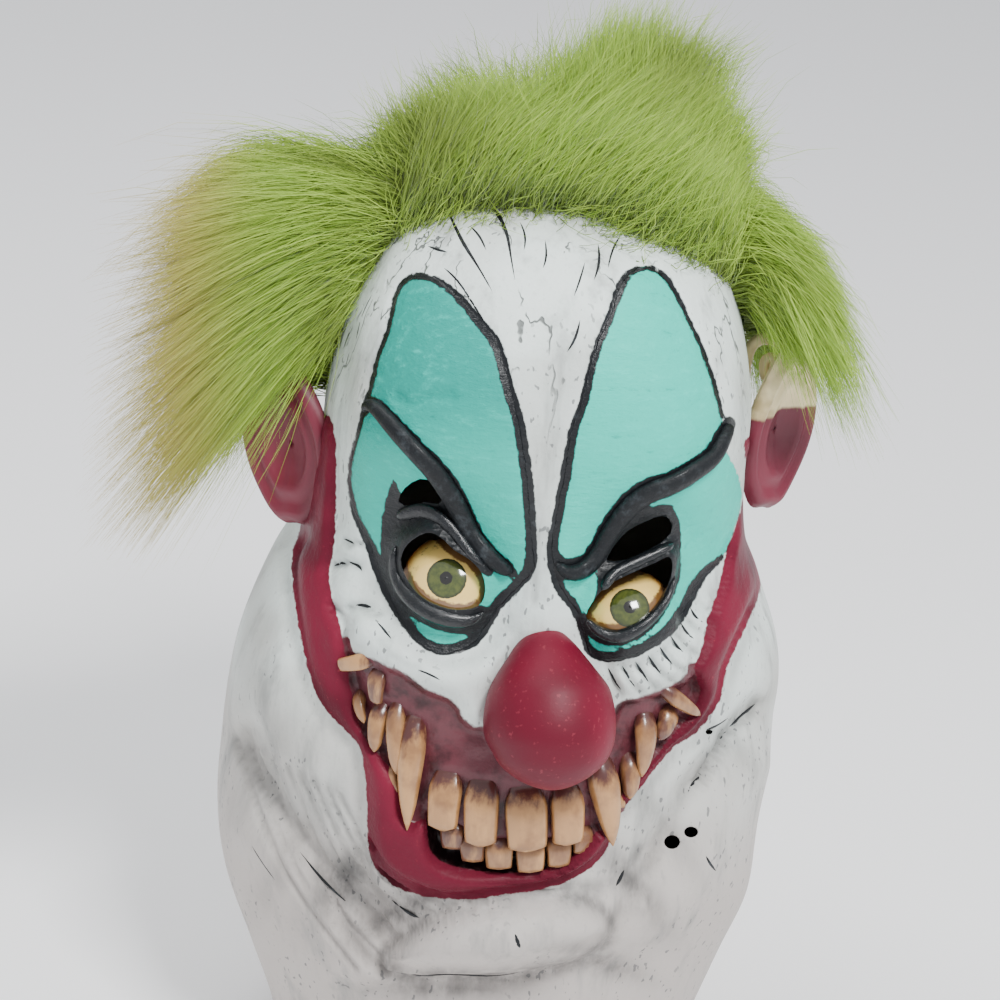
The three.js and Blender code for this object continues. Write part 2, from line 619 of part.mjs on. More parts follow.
// The room of the backing of one side's tuft.
function sideRoom(side) {
  const length = 2 * HEAD_HALF_WIDTH;
  const oval = new THREE.CylinderGeometry(1, 1, length, 20);
  oval.rotateZ(Math.PI / 2);
  oval.scale(1, SIDE_PATCH.wide * BACK_DEPTH, SIDE_PATCH.tall * MASK_HEIGHT);
  oval.translate(side * length / 2, SIDE_PATCH.back * BACK_DEPTH, -SIDE_PATCH.down * MASK_HEIGHT);
  return solid(oval).subtract(crownRoom(-FUR_CLEARANCE));
}

function furBacking(room) {
  return grownHead(FUR_CLEARANCE + FUR_BACKING, SEAT_COLUMNS, SEAT_RINGS)
    .intersect(room)
    .subtract(grownHead(FUR_CLEARANCE, OUTER_COLUMNS, OUTER_RINGS));
}

// A lock's thickness from its root to its tip, in equal steps, as shares of LOCK_THICKNESS.
const LOCK_TAPER = [0.72, 0.87, 0.72, 0.27];

function lock(root, run, thick) {
  const place0 = root[0];
  const turn0 = THREE.MathUtils.degToRad(root[1]);
  const normal = headNormal(place0, turn0);
  const start = skinPoint(place0, turn0, 0);
  const end = start.clone().add(new THREE.Vector3(...run).multiplyScalar(LOCK_LENGTH));
  const bend = start.clone().lerp(end, LOCK_ARCH_SHARE)
    .addScaledVector(normal, LOCK_ARCH * LOCK_LENGTH);
  const path = new THREE.QuadraticBezierCurve3(start, bend, end);
  const steps = LOCK_TAPER.length - 1;
  const sides = 6;
  const frames = path.computeFrenetFrames(steps, false);
  const rings = [];
  for (let s = 0; s <= steps; s++) {
    const radius = thick * LOCK_THICKNESS / 2 * LOCK_TAPER[s];
    const centre = path.getPoint(s / steps);
    rings.push(Array.from({ length: sides }, (_, i) => {
      const angle = 2 * Math.PI * i / sides;
      return centre.clone()
        .addScaledVector(frames.normals[s], radius * Math.cos(angle))
        .addScaledVector(frames.binormals[s], radius * Math.sin(angle));
    }));
  }
  return solid(loft(rings));
}

// What the locks stand on: the head with the clearance and half of the backing's thickness on it.
const furSeat = grownHead(FUR_CLEARANCE + 0.5 * FUR_BACKING, SEAT_COLUMNS, SEAT_RINGS);
const earRoom = EARS.map((row) => ear(row, FUR_CLEARANCE)).reduce((sum, grown) => sum.add(grown));

// The room on one side of the parting between the crown fur and the tuft over an ear. The tuft's
// room lies below the parting plane, and the crown's room above it.
const PARTING_SIDE = 0.61;
const PARTING_DOWN = 0.03;
const PARTING_RISE = THREE.MathUtils.degToRad(22);

function partingRoom(side, below) {
  const size = 3 * HEAD_HALF_WIDTH;
  const reach = size / 4;
  const block = new THREE.BoxGeometry(size + reach, 2 * size, size);
  block.translate(side * (size - reach) / 2, 0, (below ? -1 : 1) * size / 2 + (below ? 0 : FUR_CLEARANCE));
  block.rotateY(-side * PARTING_RISE);
  block.translate(side * PARTING_SIDE * HEAD_HALF_WIDTH, -0.5 * HEAD_HALF_WIDTH, -PARTING_DOWN * MASK_HEIGHT);
  return solid(block);
}

function fur(name) {
  let body = null;
  for (const row of LOCK_ROWS[name]) {
    for (let i = 0; i < row.count; i++) {
      const share = row.count === 1 ? 0 : i / (row.count - 1);
      const mix = (a, b) => a.map((value, k) => THREE.MathUtils.lerp(value, b[k], share));
      const next = lock(mix(row.from, row.to), mix(row.first, row.last), row.thick);
      body = body === null ? next : body.add(next);
    }
  }
  body = body.subtract(furSeat);
  if (name === 'hair_crown') {
    for (const side of [-1, 1]) body = body.subtract(partingRoom(side, true));
    return body.add(furBacking(crownRoom(0)));
  }
  const side = name === 'hair_left' ? -1 : 1;
  const crownBacking = grownHead(2 * FUR_CLEARANCE + FUR_BACKING, SEAT_COLUMNS, SEAT_RINGS)
    .intersect(crownRoom(-FUR_CLEARANCE));
  return body.subtract(partingRoom(side, false))
    .subtract(crownBacking)
    .add(furBacking(sideRoom(side)))
    .subtract(earRoom);
}

// The body without the crumbs that its cuts leave.
function whole(body) {
  return body.decompose().sort((a, b) => b.volume() - a.volume())[0];
}

function part(name, body, colour, roughness) {
  const material = new THREE.MeshStandardMaterial({ color: colour, roughness, metalness: 0 });
  const piece = new THREE.Mesh(fromSolid(whole(body)), material);
  piece.name = name;
  return piece;
}

const group = new THREE.Group();
group.add(part('mask_shell', maskShell(), 0xdcdfe0, 0.6));
for (const eye of EYES) group.add(part(eye.name, eyeDome(eye, 0), 0xdfb573, 0.12));
for (const name of Object.keys(LOCK_ROWS)) group.add(part(name, fur(name), 0x8fb435, 0.9));

export default group;
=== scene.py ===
# An overhead clown mask of cast latex with plastic eyes and fur, as in the photo.
# Lengths are millimetres up to the meshes, which are in metres. Pixels are those of the photo.
import math

import bpy
import numpy as np
from mathutils import Matrix, Vector
from mathutils.bvhtree import BVHTree


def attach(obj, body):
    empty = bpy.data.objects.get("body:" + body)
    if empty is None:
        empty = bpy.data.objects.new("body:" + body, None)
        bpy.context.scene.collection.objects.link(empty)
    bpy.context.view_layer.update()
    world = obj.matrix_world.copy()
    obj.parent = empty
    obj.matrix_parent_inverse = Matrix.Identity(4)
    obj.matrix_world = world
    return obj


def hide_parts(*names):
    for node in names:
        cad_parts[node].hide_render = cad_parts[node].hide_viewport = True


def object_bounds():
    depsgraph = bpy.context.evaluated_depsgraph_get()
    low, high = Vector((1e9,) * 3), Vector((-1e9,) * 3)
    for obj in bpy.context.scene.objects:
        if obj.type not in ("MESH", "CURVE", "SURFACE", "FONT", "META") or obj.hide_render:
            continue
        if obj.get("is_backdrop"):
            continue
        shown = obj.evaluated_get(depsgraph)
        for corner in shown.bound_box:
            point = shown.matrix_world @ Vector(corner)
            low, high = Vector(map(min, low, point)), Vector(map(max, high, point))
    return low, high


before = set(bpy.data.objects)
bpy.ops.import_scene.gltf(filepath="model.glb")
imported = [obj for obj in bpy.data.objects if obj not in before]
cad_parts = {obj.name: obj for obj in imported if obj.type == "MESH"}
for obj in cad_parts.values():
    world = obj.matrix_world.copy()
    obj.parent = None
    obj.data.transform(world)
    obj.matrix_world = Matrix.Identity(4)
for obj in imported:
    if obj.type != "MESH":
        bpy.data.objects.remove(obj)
SIZES = {"cad": [list(v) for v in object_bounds()]}
rng = np.random.default_rng(618)
MM = 0.001

# The bare head, as in the CAD part
HEIGHT = 420.0
HALF_WIDTH = 88.0
FACE_DEPTH = 97.0
BACK_DEPTH = 110.0
WALL = 2.6
# Columns: down, width, front, back, shift, square
SECTIONS = np.array([
    (0.000, 0.00, 0.00, 0.00, 0.00, 2.0),
    (0.008, 0.30, 0.28, 0.32, 0.00, 2.0),
    (0.032, 0.56, 0.55, 0.60, 0.00, 2.0),
    (0.075, 0.77, 0.78, 0.82, 0.00, 2.1),
    (0.140, 0.92, 0.94, 0.96, -0.01, 2.2),
    (0.220, 1.00, 1.00, 1.02, -0.01, 2.3),
    (0.300, 1.02, 1.00, 1.00, -0.02, 2.3),
    (0.380, 1.08, 0.98, 0.92, -0.03, 2.2),
    (0.440, 1.22, 0.99, 0.84, -0.05, 2.1),
    (0.515, 1.34, 1.02, 0.78, -0.05, 2.1),
    (0.600, 1.38, 1.04, 0.75, -0.08, 2.1),
    (0.690, 1.39, 1.04, 0.74, -0.11, 2.1),
    (0.780, 1.35, 0.98, 0.73, -0.11, 2.1),
    (0.860, 1.25, 0.92, 0.72, -0.09, 2.1),
    (0.935, 1.14, 0.87, 0.71, -0.08, 2.1),
    (1.000, 1.08, 0.84, 0.71, -0.07, 2.1),
])

# The camera of the photo
TURN = math.radians(-6)
TILT = math.radians(25)
ROLL = math.radians(4.5)
DISTANCE = 1100.0
FOCAL = 2750.0
PIXELS = 1000.0
AIM = np.array([0.0, -0.98 * FACE_DEPTH, -0.357 * HEIGHT])
AIM_X = 548.0
AIM_Y = 590.0

BACKWARD = np.array([math.sin(TURN) * math.cos(TILT), -math.cos(TURN) * math.cos(TILT), math.sin(TILT)])
LEVEL = np.array([math.cos(TURN), math.sin(TURN), 0.0])
RISE = np.cross(BACKWARD, LEVEL)
RIGHT = LEVEL * math.cos(ROLL) + RISE * math.sin(ROLL)
UP = RISE * math.cos(ROLL) - LEVEL * math.sin(ROLL)
EYE = AIM + BACKWARD * DISTANCE


def pixel(points):
    """Where points are seen in the photo, as arrays of x and y."""
    seen = points - EYE
    depth = -(seen @ BACKWARD)
    return AIM_X + FOCAL * (seen @ RIGHT) / depth, AIM_Y - FOCAL * (seen @ UP) / depth


def ray(x, y):
    """The direction from the camera through a pixel."""
    line = RIGHT * (x - AIM_X) - UP * (y - AIM_Y) - BACKWARD * FOCAL
    return line / np.linalg.norm(line)


def smoothstep(value, low, high):
    t = np.clip((value - low) / (high - low), 0, 1)
    return t * t * (3 - 2 * t)


def unit(v):
    """Vectors brought to length 1."""
    return v / np.maximum(np.linalg.norm(v, axis=-1, keepdims=True), 1e-9)


def round_angles(count):
    """Angles once round, evenly spaced."""
    return np.linspace(0, 2 * math.pi, count, endpoint=False)


# Lines and loops on the photo
FAR = 1e3


def smooth_line(points, closed=False, steps=6):
    """A smooth curve through points, given in any number of columns."""
    p = np.array(points, float)
    n = len(p)
    index = lambda i: p[i % n] if closed else p[min(max(i, 0), n - 1)]
    out = []
    for i in range(n if closed else n - 1):
        a, b, c, d = (index(i + k) for k in (-1, 0, 1, 2))
        for s in range(steps):
            t = s / steps
            out.append(0.5 * (2 * b + (c - a) * t + (2 * a - 5 * b + 4 * c - d) * t * t
                              + (3 * b - a - 3 * c + d) * t ** 3))
    if not closed:
        out.append(p[-1])
    return np.array(out)


def smooth_loop(points, steps=3):
    return smooth_line(points, True, steps)


def thin_line(points, steps):
    """A smooth curve through points of x and y, with no width."""
    return smooth_line([(*p, 0.0) for p in points], False, steps)


def to_segment(x, y, a, b):
    """How far points are from the segment from a to b, and their share of the way along it."""
    span = b[:2] - a[:2]
    t = np.clip(((x - a[0]) * span[0] + (y - a[1]) * span[1]) / max(span @ span, 1e-9), 0, 1)
    return np.hypot(x - a[0] - t * span[0], y - a[1] - t * span[1]), t


def stroke(x, y, line):
    """How far points are inside a line with a half width in its third column, in pixels."""
    best = np.full(x.shape, -FAR)
    for a, b in zip(line[:-1], line[1:]):
        off, t = to_segment(x, y, a, b)
        best = np.maximum(best, a[2] + (b[2] - a[2]) * t - off)
    return best


def loop_depth(x, y, loop):
    """How far points are inside a closed loop, in pixels; negative outside."""
    ring = np.vstack([loop, loop[:1]])
    off = np.full(x.shape, FAR)
    inside = np.zeros(x.shape, bool)
    for a, b in zip(ring[:-1], ring[1:]):
        off = np.minimum(off, to_segment(x, y, a, b)[0])
        if a[1] != b[1]:
            crosses = (a[1] > y) != (b[1] > y)
            inside ^= crosses & (x < a[0] + (y - a[1]) * (b[0] - a[0]) / (b[1] - a[1]))
    return np.where(inside, off, -off)


TEAL_LEFT = smooth_loop([
    (416, 274), (437, 280), (459, 298), (479, 320), (498, 346), (510, 387), (520, 429), (528, 489),
    (531, 537), (534, 566), (520, 585), (498, 607), (485, 626), (472, 644), (450, 653), (428, 649),
    (408, 630), (392, 601), (380, 572), (369, 543), (356, 515), (350, 486), (351, 460), (359, 435),
    (365, 409), (370, 387), (378, 355), (388, 330), (396, 291)])
TEAL_RIGHT = smooth_loop([
    (646, 266), (622, 282), (611, 314), (593, 355), (581, 403), (571, 432), (565, 473), (557, 515),
    (552, 553), (561, 588), (577, 610), (584, 633), (590, 653), (608, 660), (636, 654), (663, 637),
    (681, 615), (691, 596), (704, 574), (724, 555), (736, 523), (742, 496), (736, 470), (726, 451),
    (722, 416), (714, 384), (702, 349), (686, 314), (670, 285)])
EYE_LEFT = smooth_loop([
    (426, 533), (408, 544), (401, 560), (406, 577), (418, 594), (434, 604), (456, 610), (478, 606),
    (485, 592), (482, 574), (470, 560), (454, 550), (440, 537)])
EYE_RIGHT = smooth_loop([
    (586, 616), (597, 596), (610, 584), (634, 572), (655, 563), (669, 557), (672, 570), (664, 594),
    (645, 617), (618, 630), (598, 628)])
SLOT_LEFT = smooth_loop([
    (399, 501), (405, 488), (420, 479), (434, 483), (443, 495), (438, 504), (424, 502), (411, 507)], 2)
SLOT_RIGHT = smooth_loop([
    (607, 560), (615, 545), (628, 531), (645, 522), (662, 516), (670, 521), (671, 532), (660, 543),
    (643, 552), (624, 560)], 2)
# Stretches that the lip and mouth loops share, each in order
LOWER_LIP = [(585, 844), (566, 861), (542, 870), (505, 873), (469, 869), (441, 861), (429, 846)]
LEFT_LIP = [(403, 812), (400, 785), (388, 765), (370, 745), (358, 722), (352, 695), (346, 660)]
RIGHT_LIP = [(694, 668), (700, 690), (692, 712), (672, 735), (655, 757), (640, 775)]
RED_LEFT = smooth_loop([
    (316, 420), (304, 470), (300, 528), (293, 550), (292, 579), (298, 622), (307, 666), (319, 700),
    (341, 727), (358, 744), (364, 769), (367, 800), (367, 835), (369, 851), (377, 870), (396, 887),
    (424, 896), (462, 900), (495, 896), (538, 890), (566, 882), (594, 865), (606, 850), (611, 836),
    (603, 830), (597, 830), *LOWER_LIP, (427, 820), (413, 822), *LEFT_LIP, (341, 630), (333, 600),
    (329, 575), (334, 545), (336, 500), (334, 425)])
RED_RIGHT = smooth_loop([
    (745, 440), (747, 470), (743, 499), (734, 531), (726, 552), (719, 586), (707, 620), (703, 645),
    *RIGHT_LIP, (620, 798), (616, 806),
    (624, 806), (641, 787), (656, 768), (674, 747), (699, 730), (720, 700), (726, 671), (736, 647),
    (753, 611), (761, 586), (762, 557), (765, 528), (768, 470), (772, 430)])
MOUTH = smooth_loop([
    (345, 642), (354, 652), (371, 658), (391, 667), (409, 676), (429, 690), (449, 698), (459, 708),
    (463, 718), (475, 727), (486, 728), (520, 760), (590, 760), (616, 706), (633, 699), (656, 692),
    (679, 681), *RIGHT_LIP, (622, 797), (612, 836), (603, 830), *LOWER_LIP, (427, 820),
    *LEFT_LIP])
THROAT = smooth_loop([
    (428, 806), (445, 822), (470, 838), (505, 845), (545, 846), (580, 838), (600, 826),
    *LOWER_LIP])
LID_RIGHT = smooth_loop([
    (590, 612), (597, 590), (603, 570), (612, 548), (628, 530), (648, 518), (670, 509), (679, 520),
    (681, 548), (677, 580), (666, 604), (647, 628), (620, 641), (597, 637), (583, 621)])
LID_LEFT = smooth_loop([
    (394, 480), (386, 500), (381, 530), (381, 560), (388, 592), (408, 615), (440, 631), (470, 634),
    (484, 624), (487, 606), (470, 606), (449, 604), (420, 590), (408, 562), (420, 545), (440, 545),
    (462, 560), (482, 574), (494, 575), (488, 556), (476, 534), (466, 510), (448, 484), (430, 500),
    (404, 498)])

# Painted black lines. Columns: x, y and half width.
INK = [smooth_line(rows, False, 4) for rows in (
    [(404, 281, 3), (416, 276, 3.5), (437, 281, 4), (459, 298, 4.5), (479, 322, 5), (497, 347, 6),
     (508, 387, 6), (520, 429, 6), (528, 489, 6), (531, 537, 6), (530, 566, 6.5), (518, 584, 6),
     (498, 604, 6), (487, 622, 6), (473, 641, 6), (450, 649, 6), (428, 645, 5.5), (410, 628, 5.5),
     (394, 601, 7), (381, 572, 7), (369, 543, 5), (356, 515, 3.5), (350, 486, 2.5), (351, 460, 2.2),
     (358, 435, 2.2), (364, 409, 2.5), (371, 387, 2.5), (379, 355, 2.5), (388, 330, 2.5),
     (396, 295, 2.5), (404, 281, 3)],
    [(722, 416, 2.5), (714, 384, 2.5), (702, 349, 2.5), (686, 314, 2.5), (672, 286, 3), (660, 273, 3),
     (646, 267, 3), (632, 272, 4), (622, 284, 5), (611, 314, 4.5), (595, 355, 4.5), (583, 403, 5),
     (573, 432, 5), (566, 473, 5.5), (558, 515, 5.5), (552, 553, 6), (560, 588, 5.5), (575, 608, 5),
     (583, 633, 4), (590, 650, 5), (608, 657, 5.5), (636, 651, 5.5), (663, 635, 6), (680, 615, 6),
     (690, 596, 6), (703, 574, 5), (722, 557, 3)],
    [(584, 618, 5), (598, 633, 9), (620, 638, 8), (645, 626, 7), (664, 602, 6), (674, 580, 5),
     (676, 555, 5), (675, 530, 5), (668, 514, 6)],
    [(600, 598, 3), (603, 585, 6), (605, 565, 8), (612, 545, 9), (625, 528, 9), (645, 516, 8),
     (668, 510, 6)],
    [(552, 553, 6), (565, 566, 8), (590, 560, 9), (612, 535, 9)],
)]

# Teeth. Columns: root, tip, half width in pixels, share of it at the tip, lift in mm, stain.
TEETH = [
    ((371, 660), (344, 663), 9, 0.7, 3.0, 0.1), ((377, 668), (379, 702), 11, 0.6, 2.0, 0.9),
    ((357, 690), (367, 722), 8, 0.4, 2.0, 0.5), ((381, 702), (378, 750), 11, 0.5, 3.0, 0.3),
    ((395, 702), (400, 772), 11, 0.5, 3.0, 0.4), ((389, 764), (399, 792), 7, 0.4, 2.0, 0.5),
    ((413, 716), (412, 823), 16, 0.2, 6.0, 0.15), ((447, 770), (444, 826), 18, 0.82, 3.5, 0.3),
    ((482, 778), (481, 841), 18.5, 0.85, 3.8, 0.25), ((525, 786), (526, 845), 22.5, 0.88, 4.4, 0.2),
    ((567, 784), (565, 840), 18.5, 0.86, 3.8, 0.25), ((600, 756), (606, 838), 18, 0.2, 6.0, 0.15),
    ((630, 752), (627, 796), 12, 0.5, 2.5, 0.8), ((647, 712), (638, 774), 13, 0.3, 3.0, 0.45),
    ((672, 706), (656, 738), 12, 0.5, 2.5, 0.95), ((662, 690), (694, 712), 9, 0.4, 4.0, 0.6),
    ((611, 792), (622, 805), 6, 0.5, 2.0, 0.2),
    ((452, 822), (452, 850), 13, 0.8, -0.5, 0.95), ((472, 834), (473, 862), 14, 0.8, 0.0, 0.8),
    ((499, 838), (499, 868), 15, 0.85, 1.0, 0.5), ((530, 840), (530, 871), 16, 0.85, 1.2, 0.45),
    ((559, 836), (558, 866), 14, 0.8, 1.0, 0.5), ((583, 826), (581, 853), 12, 0.8, 1.0, 0.6),
]

# Creases of the latex. Columns: points, half width in pixels, depth in mm, painted shade from 0 to 1.
CREASES = [
    ([(383, 966), (360, 944), (336, 905), (318, 868)], 9, 3.5, 0.5),
    ([(612, 925), (632, 893), (648, 862), (672, 812), (700, 772), (718, 742)], 9, 3.0, 0.45),
    ([(385, 968), (421, 979), (446, 977), (488, 980), (529, 975), (571, 964), (606, 942)], 7, 2.2, 0.7),
    ([(365, 868), (385, 900), (412, 916), (452, 906), (500, 893), (550, 888), (596, 889), (620, 874)],
     9, 2.0, 0.5),
    ([(301, 535), (288, 552), (287, 580), (292, 625), (301, 668), (314, 704), (338, 733), (354, 752),
      (360, 800), (361, 845), (370, 878), (392, 897)], 7, 1.6, 0.3),
    ([(768, 560), (766, 590), (757, 615), (741, 650), (731, 675), (725, 704), (702, 736), (678, 752),
      (660, 773), (644, 793), (622, 812)], 7, 1.2, 0.3),
    ([(248, 738), (282, 800), (315, 849), (363, 895), (391, 935)], 14, 6.0, 0.35),
    ([(755, 704), (735, 722), (718, 741), (698, 778)], 8, 3.2, 0.7),
    ([(640, 849), (630, 866), (622, 883)], 5, 1.6, 0.6),
    ([(336, 566), (347, 563), (359, 567)], 4, 2.0, 0.7),
    ([(344, 540), (352, 543), (362, 544)], 3, 1.5, 0.6),
    ([(350, 607), (366, 607), (380, 613)], 4, 2.0, 0.6),
    ([(333, 605), (345, 620), (346, 640)], 4, 2.0, 0.5),
    ([(380, 640), (392, 655), (420, 668)], 4, 1.0, 0.2),
    ([(608, 668), (614, 682), (622, 694)], 3.5, 1.6, 0.5),
    ([(622, 666), (630, 680), (640, 692)], 3.5, 1.6, 0.5),
    ([(637, 664), (646, 677), (657, 688)], 3.5, 1.6, 0.5),
    ([(651, 658), (660, 671), (672, 681)], 3.5, 1.6, 0.5),
    ([(664, 648), (673, 662), (685, 670)], 3.5, 1.6, 0.5),
    ([(676, 634), (686, 646), (696, 652)], 3.5, 1.6, 0.5),
    ([(686, 618), (696, 628), (704, 632)], 3.5, 1.5, 0.5),
    ([(696, 600), (705, 608), (712, 610)], 3.5, 1.5, 0.5),
    ([(398, 398), (410, 404), (430, 398), (450, 396)], 5, 1.2, 0.0),
    ([(546, 540), (544, 570), (540, 600)], 9, 2.0, 0.2),
    ([(470, 655), (490, 640), (505, 622)], 8, 1.2, 0.1),
    ([(352, 330), (344, 400), (343, 470), (340, 520)], 7, 1.2, 0.15),
]
CHIN = smooth_loop([
    (383, 962), (397, 945), (425, 926), (463, 905), (504, 896), (546, 893), (579, 900), (601, 914),
    (608, 928), (598, 944), (571, 958), (529, 968), (488, 973), (446, 972), (405, 973)])
CHEEK_LEFT = smooth_loop([
    (352, 638), (371, 654), (391, 664), (409, 672), (429, 686), (449, 694), (460, 704), (470, 720),
    (481, 722), (486, 700), (500, 670), (514, 645), (506, 632), (490, 650), (470, 662), (440, 663),
    (412, 652), (390, 626), (370, 610), (350, 620)])
CHEEK_RIGHT = smooth_loop([
    (612, 672), (618, 699), (633, 694), (656, 687), (679, 676), (692, 663), (700, 644), (706, 620),
    (713, 598), (701, 600), (690, 622), (672, 646), (645, 662), (618, 668)])
# Rounded pads. Columns: loop, half width in pixels, rise in mm.
PADS = [(CHIN, 34, 9.0), (CHEEK_LEFT, 15, 2.6), (CHEEK_RIGHT, 13, 2.4)]
# A painted shadow just outside the pads: its darkness per mm of rise, and how far out it lies in pixels
PAD_SHADOW_DARKNESS = 0.08
PAD_SHADOW = 4
# Painted shade in the hollows, grey. Columns: x, y, half sizes, lean in degrees, strength.
SHADE_IN_HOLLOWS = [
    (400, 912, 56, 15, 32, 0.95), (345, 878, 50, 24, 50, 0.8), (632, 884, 50, 15, -52, 0.8),
    (602, 962, 44, 12, -20, 0.7), (440, 988, 70, 10, 0, 0.75), (720, 735, 38, 14, -45, 0.5),
    (300, 840, 80, 16, 58, 0.4), (260, 770, 60, 14, 62, 0.35), (520, 890, 60, 9, -4, 0.4),
    (660, 820, 60, 14, -55, 0.4), (345, 545, 12, 60, 0, 0.2), (748, 420, 12, 60, 0, 0.3),
    (520, 655, 14, 40, 30, 0.3), (600, 655, 10, 24, -30, 0.25), (545, 560, 12, 50, 0, 0.3),
    (700, 610, 12, 24, 30, 0.25), (335, 440, 10, 50, 0, 0.25),
]
# Fine pulled folds that run beside each other from the neck to the chin. Columns: from and to.
PULLED = [((236 + 13 * i, 738 + 7 * i), (356 + 11 * i, 968 - 8 * i)) for i in range(9)]
PULLED_SAG = (-12, 14)
PULLED_HALF = 3.4
PULLED_DEPTH = 2.0
# Painted shade along the pulled folds
PULLED_SHADE = 0.4
# All that folds inward. Columns: line, half width in pixels, depth in mm, painted shade.
FOLDED = [(thin_line(points, 4), *row) for points, *row in CREASES]
for start, end in PULLED:
    line = thin_line((start, np.add(start, end) / 2 + PULLED_SAG, end), 5)
    FOLDED.append((line, PULLED_HALF, PULLED_DEPTH, PULLED_SHADE))
# How far the latex sinks in mm, over how many pixels
MOUTH_SUNK, MOUTH_EDGE = 3.4, 6
THROAT_SUNK, THROAT_EDGE = 6.0, 9
TEAL_SUNK, TEAL_EDGE = 0.9, 4.0
# The red lips. Columns: loop, half width in pixels.
LIPS = [(RED_LEFT, 16.0), (RED_RIGHT, 13.0)]
# The lips stand higher toward the chin: rise and further rise in mm, and rows of the photo
LIP_RISE, LIP_MORE = 4.2, 2.8
LIP_FROM, LIP_TO = 740, 860

# Lumps of the latex. Columns: x, y, half sizes, lean in degrees, rise in mm.
LUMPS = [
    *[(tooth[0][0], tooth[0][1] - 4, tooth[2] + 2, 11, 0, 1.8) for tooth in TEETH if tooth[2] > 12],
    (342, 588, 15, 17, 0, 5.0), (364, 622, 24, 15, 30, 4.0), (346, 552, 13, 8, 0, 3.0),
    (400, 650, 40, 22, 35, 2.4), (455, 680, 34, 20, 20, 2.2), (530, 622, 22, 24, 0, 2.0),
    (668, 655, 30, 16, -35, 2.2), (640, 682, 26, 12, -15, 1.6), (505, 935, 92, 30, -9, 3.5),
    (395, 440, 26, 60, 60, 1.6), (700, 500, 34, 34, 0, 2.6), (366, 470, 18, 50, 8, 1.6),
    (440, 722, 16, 12, 40, 1.4), (475, 748, 15, 12, 20, 1.4), (385, 690, 14, 20, 10, 1.2),
    (520, 765, 20, 8, 0, 1.2), (645, 715, 16, 12, -40, 1.2), (300, 800, 26, 70, -28, 2.2),
    (270, 690, 22, 70, 10, 2.0), (712, 780, 20, 60, 22, 2.0), (660, 900, 40, 50, 30, 1.8),
]
# Broad swells of the CAD head. Columns: x, y, half sizes, lean in degrees, rise in mm.
SWELLS = [
    (434.6, 430, 84, 72, -30, 4.5), (674, 438, 84, 72, 35, 4.5), (434.6, 534, 63, 56, -30, -8.5),
    (640.4, 558, 63, 56, 25, -8.5), (445.1, 590, 63, 48, -10, -3.5), (629.9, 614, 63, 48, 15, -3.5),
    (548, 598, 29.4, 64, 0, 6.0), (548, 462, 21, 128, 0, -3.0), (413.6, 662, 71.4, 40, -20, 9.0),
    (669.8, 658, 58.8, 36, 25, 8.0), (506, 782, 126, 96, 0, 10.0), (497.6, 930, 113.4, 36, 9, 17.0),
    (497.6, 978, 126, 17.6, 6, -4.5), (338, 686, 25.2, 80, 15, -4.0), (657.2, 854, 42, 40, 40, -5.0),
    (287.6, 718, 50.4, 112, 10, 6.0), (724.4, 878, 50.4, 64, 50, 5.0),
]
# Broad folds of the CAD neck. Columns: from, to, half width, rise in mm.
FOLDS = [
    ((254, 750), (329.6, 862), 33.6, -4.5), ((346.4, 894), (396.8, 934), 33.6, -4.0),
    ((254, 830), (371.6, 966), 21, 4.0), ((758, 710), (690.8, 790), 16.8, -5.0),
    ((758, 766), (648.8, 926), 21, 3.0),
]


# The form of the latex

def section(place):
    """Columns of SECTIONS at places from 0 at the crown to 1 at the hem, on a smooth curve."""
    at = np.clip(place, 0, 1) * (len(SECTIONS) - 1)
    row = np.minimum(at.astype(int), len(SECTIONS) - 2)
    t = (at - row)[..., None]
    last = len(SECTIONS) - 1
    mirror = np.where(row == 0, 1.0, 0.0)[..., None] * np.array([0, 1, 1, 1, 1, 0])
    a = SECTIONS[np.maximum(row - 1, 0)] * (1 - mirror) - SECTIONS[1] * mirror
    b, c, d = SECTIONS[row], SECTIONS[row + 1], SECTIONS[np.minimum(row + 2, last)]
    t2, t3 = t * t, t * t * t
    v = (2 * t3 - 3 * t2 + 1) * b + (t3 - 2 * t2 + t) * (c - a) / 2 \
        + (3 * t2 - 2 * t3) * c + (t3 - t2) * (d - b) / 2
    return np.moveaxis(v, -1, 0)


def head_point(place, turn):
    """Points of the bare head at places down it and turns round it, 0 in front."""
    down, width, front, back, shift, square = section(place)
    sine, cosine = np.sin(turn), np.cos(turn)
    bend = lambda v: np.sign(v) * np.abs(v) ** (2 / square)
    depth = np.where(cosine > 0, np.maximum(front, 0) * FACE_DEPTH, np.maximum(back, 0) * BACK_DEPTH)
    x = shift * HALF_WIDTH + np.maximum(width, 0) * HALF_WIDTH * bend(sine)
    return np.stack([x, -depth * bend(cosine), -down * HEIGHT], -1)


def head_normal(place, turn):
    """The bare head's outward directions."""
    step = 1e-3
    at = np.clip(place, 0.02, 1)
    along = head_point(at + step, turn) - head_point(at - step, turn)
    around = head_point(at, turn + step) - head_point(at, turn - step)
    return -unit(np.cross(around, along))


def leaned(x, y, row):
    """Squared distance from a leaning ellipse's centre, 1 on its edge."""
    cx, cy, wide, tall, lean = row[:5]
    c, s = math.cos(math.radians(lean)), math.sin(math.radians(lean))
    dx, dy = x - cx, cy - y
    return ((dx * c + dy * s) / wide) ** 2 + ((dy * c - dx * s) / tall) ** 2


def broad_relief(x, y):
    """Rise in mm of the swells and broad folds."""
    rise = np.zeros(x.shape)
    for row in SWELLS:
        rise += row[5] * np.exp(-leaned(x, y, row))
    for start, end, half, height in FOLDS:
        line = np.array([(*start, 0.0), (*end, 0.0)])
        rise += height * np.exp(-(stroke(x, y, line) / half) ** 2)
    return rise


EYES = {
    "left": {"seat": (446, 588), "iris": (446, 578), "loop": EYE_LEFT},
    "right": {"seat": (633, 619), "iris": (630, 607), "loop": EYE_RIGHT},
}
BALL_RADIUS = 21.5
BALL_SINK = 9.2
